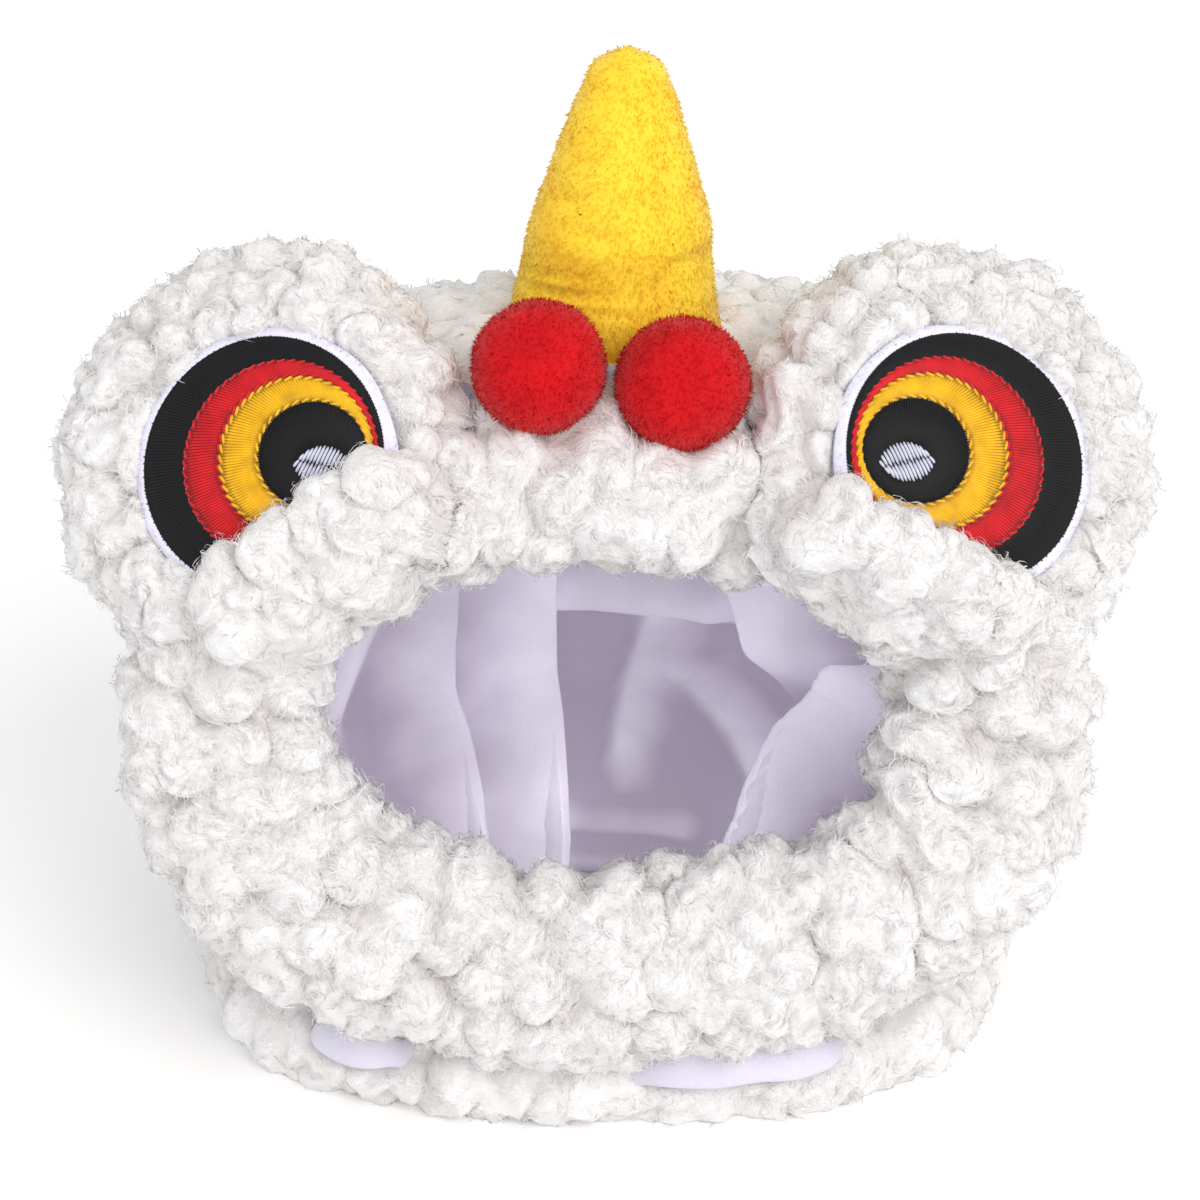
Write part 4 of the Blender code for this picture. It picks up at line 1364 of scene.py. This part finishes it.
    def _felt(self) -> None:
        """The round of felt under the embroidery, bent over the pad's front, with a fuzzy edge."""
        ring = self.felt_columns
        around = ring_angles(ring)
        shares = np.array([0.1, 0.3, 0.5, 0.7, 0.85, 0.95, 1.0])
        top = self.gap + self.felt_thickness
        flat, bevel = 0.94, 0.06
        rows = [(s, top - self.felt_bevel * max(0.0, s - flat) / bevel) for s in shares]
        rows += [(s, self.gap) for s in shares[::-1]]
        wobble = self.felt_radius * (1 + self.felt_wobble * np.sin(9 * around + self.side.value))
        x, y = wobble * np.cos(around), wobble * np.sin(around)
        grid = np.array([self.on_eye(s * x, s * y, np.full(ring, h)) for s, h in rows])
        middle = np.array(0.0)
        felt = Surface.loft(grid, *(self.on_eye(middle, middle, np.array(h)) for h in (top, self.gap)))
        name = f"eye_felt_{self.side.word}"
        first, last = ring * 5, ring * 9
        rim = ((felt.triangles >= first) & (felt.triangles < last)).all(axis=1)
        fuzz = self.fuzz.grow(felt.kept(rim), 65)
        felt.joined(fuzz).dress(f"{name}_patch", PRESSED_FELT, "lilac_felt", name)

    def _embroidery(self, level: int) -> None:
        """One colour of the embroidery, stitch by stitch.

        Args:
            level: Which outline, counted from the outermost.
        """
        outline = EYE_OUTLINES[level]
        radius = self.eye_radius
        start = self.gap + self.felt_thickness
        middle = np.array([outline.inward, outline.upward]) * radius
        half = np.array([outline.half_width, outline.half_height]) * radius
        if outline.around:
            angle = ring_angles(outline.around)
            ray = np.stack([np.cos(angle), np.sin(angle)], axis=1)
            outer = middle + half * ray
            inside = EYE_OUTLINES[level + 1]
            inside_half = np.array([inside.half_width, inside.half_height]) * radius
            inner = np.array([inside.inward, inside.upward]) * radius + inside_half * ray
            stitches = self._rows(outer, inner, outline.rows, level)
        else:
            across = (np.arange(self.glint_threads) + 0.5) / self.glint_threads * 2 - 1
            reach = np.sqrt(1 - across**2)
            slant = np.array([self.glint_slant, 0.0])
            upper = middle + half * np.stack([across, reach], axis=1) + slant
            lower = middle + half * np.stack([across, -reach], axis=1) - slant
            stitches = self._rows(upper, lower, outline.rows, level)
        if outline.edged:
            inside_rim = self._edging(inner.mean(axis=0), inside_half + self.edging_in)
            rims = [self._edging(middle, half), inside_rim]
            stitches = np.concatenate([stitches, *rims])
        piece = self._threads(stitches, start, level)
        if outline.around:
            shares = np.linspace(0.01, 0.99, 6)[:, None, None]
            last = inner if outline.edged or not level else inner.mean(axis=0)
            band = outer + (last - outer) * shares
            grid = self.on_eye(band[..., 0], band[..., 1], np.array(start + self.backing_lift))
            backing = Surface.from_grid(grid, close_rows=False)
            backing.triangles = backing.triangles[:, ::-1]
            backing = backing.uncovered("face_ruff", "hood_shell").trimmed()
            # Painted shade: the backing takes the deep colour, for the shade between the stitches.
            backing.depth[:] = 1.0
            piece = piece.joined(backing)
        name = f"eye_{outline.name}_{self.side.word}"
        finish, slot = EYE_FINISHES[outline.name]
        piece.dress(f"{name}_stitches", finish, slot, name)

    def _rows(self, outer: Array, inner: Array, rows: int, level: int) -> Array:
        """Splits each stitch line into stitches laid end to end, with their ends staggered.

        Args:
            outer: Where each line starts.
            inner: Where each line ends.
            rows: How many stitches each line has.
            level: Which outline, for the seed.

        Returns:
            Stitches by their two ends, in the plane of the eye.
        """
        rng = np.random.default_rng(70 + level)
        made = []
        count = len(outer)
        odd = (np.arange(count) % 2)[:, None]
        for row in range(rows):
            first = row / rows + (0.05 * (odd - 0.5) if row else -0.02 * odd)
            last = (row + 1) / rows + (0.05 * (odd - 0.5) if row + 1 < rows else 0.02 * odd)
            shake = rng.normal(0, 0.01, (2, count, 1))
            a = outer + (inner - outer) * (first + shake[0])
            b = outer + (inner - outer) * (last + shake[1])
            made.append(np.stack([a, b], axis=1))
        return np.concatenate(made)

    def _edging(self, middle: Array, half: Array) -> Array:
        """Small slanted stitches along an outline.

        Args:
            middle: The outline's centre.
            half: Its half width and half height.

        Returns:
            Stitches by their two ends.
        """
        count = int(2 * math.pi * half.mean() / self.edging_stitch)
        angle = ring_angles(count)
        step = 2 * math.pi / count * 1.05
        out = np.stack([np.cos(angle), np.sin(angle)], axis=1) * (half + self.edging_out)
        ahead = np.stack([np.cos(angle + step), np.sin(angle + step)], axis=1) * (half - self.edging_in)
        return np.stack([middle + out, middle + ahead], axis=1)

    def _threads(self, stitches: Array, start: float, level: int) -> Surface:
        """Lays each stitch as a raised thread over the felt.

        Args:
            stitches: Stitches by their two ends, in the plane of the eye.
            start: The felt's upper side over the pad's dome.
            level: Which outline; inner ones lie a little higher.

        Returns:
            The threads as one surface.
        """
        shares = np.array([0.0, 0.2, 0.5, 0.8, 1.0])
        arch = np.array([-0.1, 0.75, 1.0, 0.75, -0.1])
        spread = np.array([0.5, 1.0, 1.0, 1.0, 0.5])
        ends = stitches[:, 1] - stitches[:, 0]
        length = np.linalg.norm(ends, axis=1, keepdims=True)
        beside = np.stack([-ends[:, 1], ends[:, 0]], axis=1) / np.maximum(length, 1e-9)
        line = stitches[:, :1] + ends[:, None] * shares[None, :, None]
        base = start + self.layer * level
        rings = []
        for offset, rise in ((-0.5, 0.0), (-0.3, 0.75), (0.3, 0.75), (0.5, 0.0)):
            flat = line + beside[:, None] * (offset * self.thread * spread)[None, :, None]
            lift = base + self.thread * 0.75 * rise * arch[None] + np.zeros(flat.shape[:2])
            rings.append(self.on_eye(flat[..., 0], flat[..., 1], lift))
        grid = np.stack(rings, axis=2)
        count, steps, around = grid.shape[:3]
        i, j = lattice(np.arange(steps - 1), np.arange(around - 1))
        a = (i * around + j).ravel()
        local = np.concatenate([
            np.stack([a, a + 1, a + around + 1], 1), np.stack([a, a + around + 1, a + around], 1)
        ])
        triangles = (local[None] + (np.arange(count) * steps * around)[:, None, None]).reshape(-1, 3)
        # Painted shade: each stitch is darker towards its ends, where it dives into the felt.
        deep = np.broadcast_to(np.array([0.9, 0.15, 0.0, 0.15, 0.9])[None, :, None], grid.shape[:3])
        threads = Surface(grid.reshape(-1, 3), triangles, deep.ravel().copy())
        return threads.uncovered("face_ruff", "hood_shell").trimmed()


# Horn sections from base to tip: shares of its height, half width and half depth, then the sideways
# lean as a share of its width
HornSection = namedtuple("HornSection", "height width depth lean")
HORN_SECTIONS = [
    HornSection(0.00, 1.00, 1.00, -0.02),
    HornSection(0.14, 0.985, 0.98, -0.02),
    HornSection(0.28, 0.93, 0.93, -0.01),
    HornSection(0.38, 0.875, 0.85, 0.00),
    HornSection(0.46, 0.85, 0.86, 0.01),
    HornSection(0.60, 0.72, 0.74, 0.02),
    HornSection(0.75, 0.57, 0.58, 0.03),
    HornSection(0.88, 0.42, 0.43, 0.04),
    HornSection(0.96, 0.27, 0.28, 0.04),
    HornSection(1.00, 0.02, 0.02, 0.04),
]

# Creases of the stuffed horn: the share of its height, where round it in degrees from the front, how far
# they reach up and round, how they slope, and their depth in millimetres
Crease = namedtuple("Crease", "height round_from_front tall wide slope depth")
HORN_CREASES = [
    Crease(0.335, -38, 0.014, 40, 0.10, 0.75),
    Crease(0.300, -10, 0.012, 30, -0.12, 0.35),
    Crease(0.375, -55, 0.012, 26, 0.20, 0.45),
    Crease(0.60, -48, 0.030, 22, 0.10, 0.70),
    Crease(0.52, -20, 0.020, 26, -0.15, 0.35),
    Crease(0.66, 14, 0.25, 5, 0.0, 0.35),
    Crease(0.42, 60, 0.020, 30, -0.10, 0.40),
]


@dataclass(frozen=True)
class Horn:
    """The stuffed plush horn. Lengths are in metres."""

    hood: Hood
    height: float = 0.0487
    width: float = 0.0372
    depth: float = 0.034
    offset: float = 0.002
    forward: float = 0.008
    sink: float = 0.010
    nap: Nap = Nap(length=0.0009, width=0.00034, count=14000, lie=(0.0, 0.0, -0.8), spread=0.24)
    nap_room: float = 0.0007
    foot: float = 0.12
    rings: int = 92
    columns: int = 92

    def place(self) -> Array:
        """The middle of the horn's base."""
        x, y = self.offset, -self.forward
        return MIDDLE + np.array([x, y, self.hood.crown_height(x, y) - self.sink])

    def point(self, share: Array, around: Array) -> Array:
        """A point of the horn's surface.

        Args:
            share: How far up, from 0 to 1.
            around: Round from the front.

        Returns:
            The points, creases included.
        """
        heights = column(HORN_SECTIONS, "height")
        width, depth, lean = (
            smooth(heights, column(HORN_SECTIONS, name), share) for name in ("width", "depth", "lean")
        )
        degrees = np.degrees(around)
        degrees = np.where(degrees > 180, degrees - 360, degrees)
        dent = np.zeros(np.shape(share))
        for crease in HORN_CREASES:
            beside = (degrees - crease.round_from_front) / crease.wide
            above = (share - crease.height - crease.slope * beside * 0.1) / crease.tall
            dent += crease.depth / 1000 * np.exp(-(beside**2) - above**2)
        x = self.width * lean + (self.width / 2 * width - dent) * np.sin(around)
        y = -(self.depth / 2 * depth - dent) * np.cos(around)
        return self.place() + stack(x, y, (self.height + self.sink) * share)

    def build(self) -> None:
        """Makes the horn."""
        shares = np.linspace(self.foot, 1.0, self.rings) ** 0.9
        grid = self.point(*lattice(shares, ring_angles(self.columns)))
        tip = self.place() + np.array([self.width * HORN_SECTIONS[-1].lean, 0.0, self.height + self.sink])
        skin = Surface.loft(grid, grid[0].mean(axis=0), tip)
        skin.points = skin.points - skin.normals() * self.nap_room
        # Painted shade: the skin under the nap takes much of the deep colour.
        skin.depth[:] = 0.45
        nap = self.nap.grow(skin, 81, Neighbours("hood_shell"))
        piece = skin.joined(nap).dress("horn_plush", YELLOW_PLUSH, "yellow_plush", "horn")


@dataclass(frozen=True)
class Pompom:
    """A felted ball in front of the horn. Lengths are in metres."""

    face: FaceRuff
    horn: Horn
    side: Side
    radius: float = 0.0113
    left_raise: float = 0.0027
    perch: float = 0.0047
    offset: float = 0.0008
    gap: float = 0.0003
    nap: Nap = Nap(length=0.0010, width=0.00018, count=8000, lie=(0.0, 0.0, 0.0), spread=0.75)
    nap_room: float = 0.0006
    uneven: float = 0.012
    rings: int = 34
    columns: int = 64

    def centre(self) -> Array:
        """Finds the place on the ruff, against the horn and beside the other ball.

        Returns:
            The ball's middle.
        """
        sign = self.side.value
        reach = self.radius + self.gap
        x = self.offset + sign * reach + MIDDLE[0]
        z = self.face.roll_point(np.array(math.pi / 2), np.array(0.0))[2] + self.perch
        z += self.left_raise if self.side is Side.LEFT else 0.0
        share = (z - self.horn.place()[2]) / (self.horn.height + self.horn.sink)
        around = np.linspace(0.0, 2 * math.pi, 145)
        surface = self.horn.point(np.full(around.shape, share), around)
        across = np.clip(np.abs(surface[:, 0] - x) / reach, 0.0, 1.0)
        fronts = surface[:, 1] - reach * np.sqrt(1 - across**2)
        return np.array([x, float(fronts[across < 1].min()), z])

    def build(self) -> None:
        """Makes the ball."""
        rng = np.random.default_rng(90 + self.side.value)
        turn, bearing = lattice(np.linspace(0.0, math.pi, self.rings)[1:-1], ring_angles(self.columns))
        direction = stack(np.sin(turn) * np.cos(bearing), np.sin(turn) * np.sin(bearing), np.cos(turn))
        waves = sum(
            self.uneven * np.sin(direction @ rng.normal(0, 4.0, 3) + rng.uniform(0, 6.3)) for _ in range(5)
        )
        size = self.radius - self.nap_room
        grid = self.centre() + direction * (size * (1 + waves * 0.5))[..., None]
        ends = (self.centre() + np.array([0.0, 0.0, s * size]) for s in (1, -1))
        skin = Surface.loft(grid, *ends)
        # Painted shade: the ball under the nap takes most of the deep colour.
        skin.depth[:] = 0.7
        nap = self.nap.grow(skin, 92 + self.side.value)
        name = f"pompom_{self.side.word}"
        piece = skin.joined(nap).dress(f"{name}_wool", FELTED_WOOL, "red_felt", name)


# Folds of the lining: each is a ridge from a start to an end, as degrees round from the middle of the
# back (plus to the picture's right) and degrees down from the crown. Widths in degrees are those of
# its two flanks, to the left and to the right of its run, and the depth is a share of the deepest
Fold = namedtuple("Fold", "start_round start_down end_round end_down left right depth")
LINING_FOLDS = [
    Fold(-14, 98, -14, 170, 17, 4, 1.00),
    Fold(-29, 100, -33, 168, 14, 4, 0.80),
    Fold(-38, 100, -56, 136, 9, 12, 0.80),
    Fold(-8, 116, 17, 119, 4, 16, 0.75),
    Fold(25, 98, 31, 128, 6, 20, 0.95),
    Fold(8, 124, 3, 150, 5, 10, 0.60),
    Fold(7, 134, 28, 150, 5, 9, 0.50),
    Fold(50, 132, 36, 172, 5, 20, 1.00),
    Fold(-10, 160, 14, 162, 4, 6, 0.45),
    Fold(-10, 168, 14, 170, 3, 4, 0.35),
    Fold(-62, 60, -76, 120, 14, 8, 0.70),
    Fold(74, 58, 84, 116, 8, 14, 0.70),
    Fold(-20, 40, 24, 52, 14, 10, 0.60),
]


@dataclass(frozen=True)
class Lining:
    """The folded fleece bag inside the hood. Lengths are in metres, angles in degrees. Below its end the
    bag goes on as a skirt over the hem and into the neck, with a ring at each of the skirt's turns."""

    hood: Hood
    hem: NeckHem
    face: FaceRuff
    inset: float = 0.0121
    wall: float = 0.0015
    fold_depth: float = 0.0135
    clearance: float = 0.0031
    hang: float = 0.0015
    end: float = 140.0
    skirt: tuple = (148.0, 155.0, 162.0, 172.0)
    skirt_steps: int = 6
    overhang: float = 0.7
    columns: int = 240
    rows: int = 80

    def fold(self, around: Array, down: Array) -> tuple[Array, Array, Array]:
        """How far the folds stand into the hood, and which way they fall over.

        Args:
            around: Degrees round from the middle of the back.
            down: Degrees down from the crown.

        Returns:
            The depths in metres, and how far the cloth moves round and down, in metres.
        """
        total, shift_round, shift_down = (np.zeros(around.shape) for _ in range(3))
        for fold in LINING_FOLDS:
            run_round, run_down = fold.end_round - fold.start_round, fold.end_down - fold.start_down
            length = math.hypot(run_round, run_down)
            x, y = around - fold.start_round, down - fold.start_down
            along = (x * run_round + y * run_down) / length**2
            past = (along - np.clip(along, 0.0, 1.0)) * length
            beside = (x * run_down - y * run_round) / length
            width = np.where(beside < 0, fold.left, fold.right)
            away = np.hypot(beside / width, past / (fold.left + fold.right) * 1.6)
            height = fold.depth * (0.5 + 0.5 * np.cos(math.pi * np.clip(away, 0.0, 1.0)))
            lean = (fold.left - fold.right) / (fold.left + fold.right) * height**2 / length
            shift_round += lean * run_down
            shift_down -= lean * run_round
            total = np.log(np.exp(16 * total) + np.exp(16 * height) - 1) / 16
        move = self.fold_depth * self.overhang
        return total * self.fold_depth, shift_round * move, shift_down * move

    def neck_ring(self, bearings: Array, inset: float, height: float) -> Array:
        """Makes a ring inside the neck opening.

        Args:
            bearings: Round from the middle of the back, in radians.
            inset: How far inside the opening's edge.
            height: Over the floor.

        Returns:
            The ring's points.
        """
        hem = self.hem
        across = (hem.width / 2 - inset) * power(np.sin(bearings), hem.squareness)
        along = (hem.length / 2 - inset) * power(np.cos(bearings), hem.squareness)
        return MIDDLE + stack(across, along - hem.forward, np.full(bearings.shape, height))

    def build(self) -> None:
        """Makes the lining, cut behind the ruff and open at the neck."""
        even = np.linspace(-1, 1, self.columns + 1)[:-1]
        even_share, front_share = 0.42, 0.58
        bearings = math.pi * (even_share * even + front_share * even**3)
        turns = np.radians(np.linspace(6, self.end, self.rows))
        turn, bearing = lattice(turns, bearings)
        bag = self.hood.point(turn, bearing, self.inset)
        over_hem = self.hem.height + self.clearance
        bag[..., 2] = np.maximum(bag[..., 2], over_hem)
        stations = [
            (bag[-1] + self.neck_ring(bearings, 0.0, over_hem)) / 2,
            self.neck_ring(bearings, 0.0, over_hem),
            self.neck_ring(bearings, self.clearance, self.hem.height * 0.8),
            self.neck_ring(bearings, self.clearance, self.hang),
        ]
        skirt, skirt_turns, last, last_turn = [], [], bag[-1], self.end
        for station_turn, ring in zip(self.skirt, stations):
            for step in np.linspace(0, 1, self.skirt_steps + 1)[1:]:
                skirt.append(last + (ring - last) * step)
                skirt_turns.append(last_turn + (station_turn - last_turn) * step)
            last, last_turn = ring, station_turn
        rings = np.concatenate([bag, np.array(skirt)])
        down = np.concatenate([np.degrees(turns), skirt_turns])
        inward = unit(MIDDLE + np.array([0.0, 0.0, self.hood.height / 2]) - rings)
        level = np.clip((down - self.skirt[0]) / 10, 0, 1)[:, None]
        inward[..., 2] *= 1 - level
        down, around = lattice(down, np.degrees(bearings))
        depth, move_round, move_down = self.fold(around, down)
        across = unit(np.gradient(rings, axis=1))
        grid = rings + inward * depth[..., None] + across * move_round[..., None]
        grid += unit(np.gradient(rings, axis=0)) * move_down[..., None]
        apex = self.hood.point(np.array(0.0), np.array(0.0), self.inset)
        cloth = Surface.from_grid(grid, close_rows=False).closed(apex, None, self.columns)
        # Painted shade: the cloth takes the deep colour in the valleys between the folds, and its light
        # colour on their crests.
        cloth.depth[: depth.size] = np.clip(0.95 - depth.ravel() / self.fold_depth, 0.0, 1.0)
        edge = self.wall - self.face.back_depth
        cloth = cloth.kept(self.face.forward(cloth.middles()) <= edge).trimmed()
        cloth.triangles = cloth.triangles[:, ::-1]
        piece = cloth.dress("hood_lining_fleece", BRUSHED_FLEECE, "lilac_fleece", "hood_lining")
        smoothing = piece.modifiers.new("soft_folds", "SMOOTH")
        smoothing.factor = 0.5
        smoothing.iterations = 2
        wall = piece.modifiers.new("wall", "SOLIDIFY")
        wall.thickness = self.wall
        wall.offset = -1.0


# Where the strip shows between the curls, in degrees from the middle of the front, plus to the right
LIP_WINDOWS = [(-44.0, -27.0), (3.0, 32.0)]


@dataclass(frozen=True)
class HemFacing:
    """The strip of lining that rolls out between the ruff and the hem. Lengths are in metres."""

    hem: NeckHem
    width: float = 0.008
    thickness: float = 0.0025
    left: float = math.radians(44)
    right: float = math.radians(36)
    rise: float = math.radians(38)
    gap: float = 0.0003
    tuck: float = 0.0045

    @staticmethod
    def shown(angles: Array) -> Array:
        """Works out where the strip shows between the curls.

        Args:
            angles: Where round the neck.

        Returns:
            From 0 where it is hidden to 1 where it shows.
        """
        degrees, fade = np.degrees(angles + math.pi / 2), 1.2
        return sum(
            1 / (1 + np.exp(-(degrees - start) / fade)) / (1 + np.exp((degrees - end) / fade))
            for start, end in LIP_WINDOWS
        )

    def build(self) -> None:
        """Makes the strip."""
        steps, around = 90, 16
        angles = -math.pi / 2 + np.linspace(-self.left, self.right, steps)
        rise = np.full(steps, self.rise)
        centre = self.hem.point(angles, rise, -(2 * self.gap + self.thickness / 2))
        tucked = self.hem.point(angles, rise, self.tuck)
        shown = self.shown(angles)[:, None]
        centre = centre * shown + tucked * (1 - shown)
        probe = 0.001
        outward = unit(self.hem.point(angles, rise, -probe) - self.hem.point(angles, rise))
        upward = np.cross(outward, unit(np.gradient(centre, axis=0)))
        taper = np.sqrt(np.clip(1 - (np.linspace(-1, 1, steps) * 0.97) ** 6, 0.0, 1.0))
        taper *= 1 + 0.06 * np.sin(angles * 31)
        grid = np.stack([
            centre
            + upward * (self.width / 2 * math.cos(t) * taper)[:, None]
            + outward * (self.thickness / 2 * math.sin(t) * taper)[:, None]
            for t in ring_angles(around)
        ], axis=1)
        strip = Surface.loft(grid, centre[0], centre[-1])
        strip.dress("hem_facing_fleece", LIP_FLEECE, "lilac_fleece", "hem_facing")


@dataclass(frozen=True)
class Lamp:
    """A far lamp: its strength, its bearing to the right of the front, its height and its softness."""

    name: str
    strength: float
    bearing: float
    height: float
    softness: float
    colour: str


@dataclass(frozen=True)
class Studio:
    """The pale floor, the soft light and the camera. Lengths are in metres, angles in degrees."""

    target: tuple = (-0.00064, 0.00134, 0.0703)
    distance: float = 0.6
    elevation: float = 28.0
    sensor: float = 36.0
    lens: float = 101.2
    floor_reach: float = 6.0
    sky: float = 0.85
    key: Lamp = Lamp("key", 1.30, 32.0, 38.0, 36.0, "FFFDFA")
    fill: Lamp = Lamp("fill", 0.35, -6.0, 16.0, 40.0, "FBFBFF")

    def build(self) -> None:
        """Sets up the studio."""
        self._floor()
        self._camera()
        world = bpy.data.worlds.new("studio")
        bpy.context.scene.world = world
        world.use_nodes = True
        background = world.node_tree.nodes["Background"]
        background.inputs["Color"].default_value = srgb("FFFFFF")
        background.inputs["Strength"].default_value = self.sky
        for lamp in (self.key, self.fill):
            self._shine(lamp)
        settings = bpy.context.scene.view_settings
        settings.view_transform = "Standard"
        bpy.context.scene.cycles.diffuse_bounces = 8

    def _floor(self) -> None:
        """A plain pale floor."""
        bpy.ops.mesh.primitive_plane_add(size=self.floor_reach)
        floor = bpy.context.object
        floor.name = "floor"
        made = bpy.data.materials.new("painted_floor")
        made.use_nodes = True
        surface = made.node_tree.nodes["Principled BSDF"]
        surface.inputs["Base Color"].default_value = srgb("FEFEFE")
        surface.inputs["Roughness"].default_value = 0.9
        surface.inputs["Specular IOR Level"].default_value = 0.1
        floor.data.materials.append(made)
        floor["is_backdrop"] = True

    def _camera(self) -> None:
        """A camera at the photograph's angle."""
        data = bpy.data.cameras.new("camera")
        data.sensor_width = self.sensor
        data.lens = self.lens
        data.clip_start = 0.01
        camera = bpy.data.objects.new("camera", data)
        bpy.context.scene.collection.objects.link(camera)
        rise = math.radians(self.elevation)
        away = Vector((0.0, -math.cos(rise), math.sin(rise)))
        camera.location = Vector(self.target) + away * self.distance
        camera.rotation_euler = (-away).to_track_quat("-Z", "Y").to_euler()
        bpy.context.scene.camera = camera

    @staticmethod
    def _shine(lamp: Lamp) -> None:
        """Adds a broad soft light.

        Args:
            lamp: Its settings.
        """
        data = bpy.data.lights.new(lamp.name, "SUN")
        data.energy = lamp.strength
        data.angle = math.radians(lamp.softness)
        data.color = srgb(lamp.colour)[:3]
        light = bpy.data.objects.new(lamp.name, data)
        bpy.context.scene.collection.objects.link(light)
        bearing, height = math.radians(lamp.bearing), math.radians(lamp.height)
        away = Vector((
            math.sin(bearing) * math.cos(height), -math.cos(bearing) * math.cos(height), math.sin(height)
        ))
        light.rotation_euler = (-away).to_track_quat("-Z", "Y").to_euler()


def main() -> None:
    """Builds the hat and the studio."""
    logging.basicConfig(level=logging.INFO, format="%(message)s")
    Studio().build()
    hood = Hood()
    face = FaceRuff(hood)
    hem = NeckHem()
    horn = Horn(hood)
    pads = [
        EyePad(face, Side.LEFT, 0.0075, cover=0.0100, cover_slope=math.radians(44)),
        EyePad(face, Side.RIGHT, 0.0045, cover=0.0142, cover_slope=math.radians(50)),
    ]
    hood.build(face)
    face.build(pads)
    hem.build(HemFacing(hem))
    Lining(hood, hem, face).build()
    HemFacing(hem).build()
    for pad in pads:
        pad.build()
    horn.build()
    for side in Side:
        Pompom(face, horn, side).build()
    sizes = {"cad": CAD_BOX, "visual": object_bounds()}
    {name: [list(corner) for corner in box] for name, box in sizes.items()}


if __name__ == "__main__":
    main()
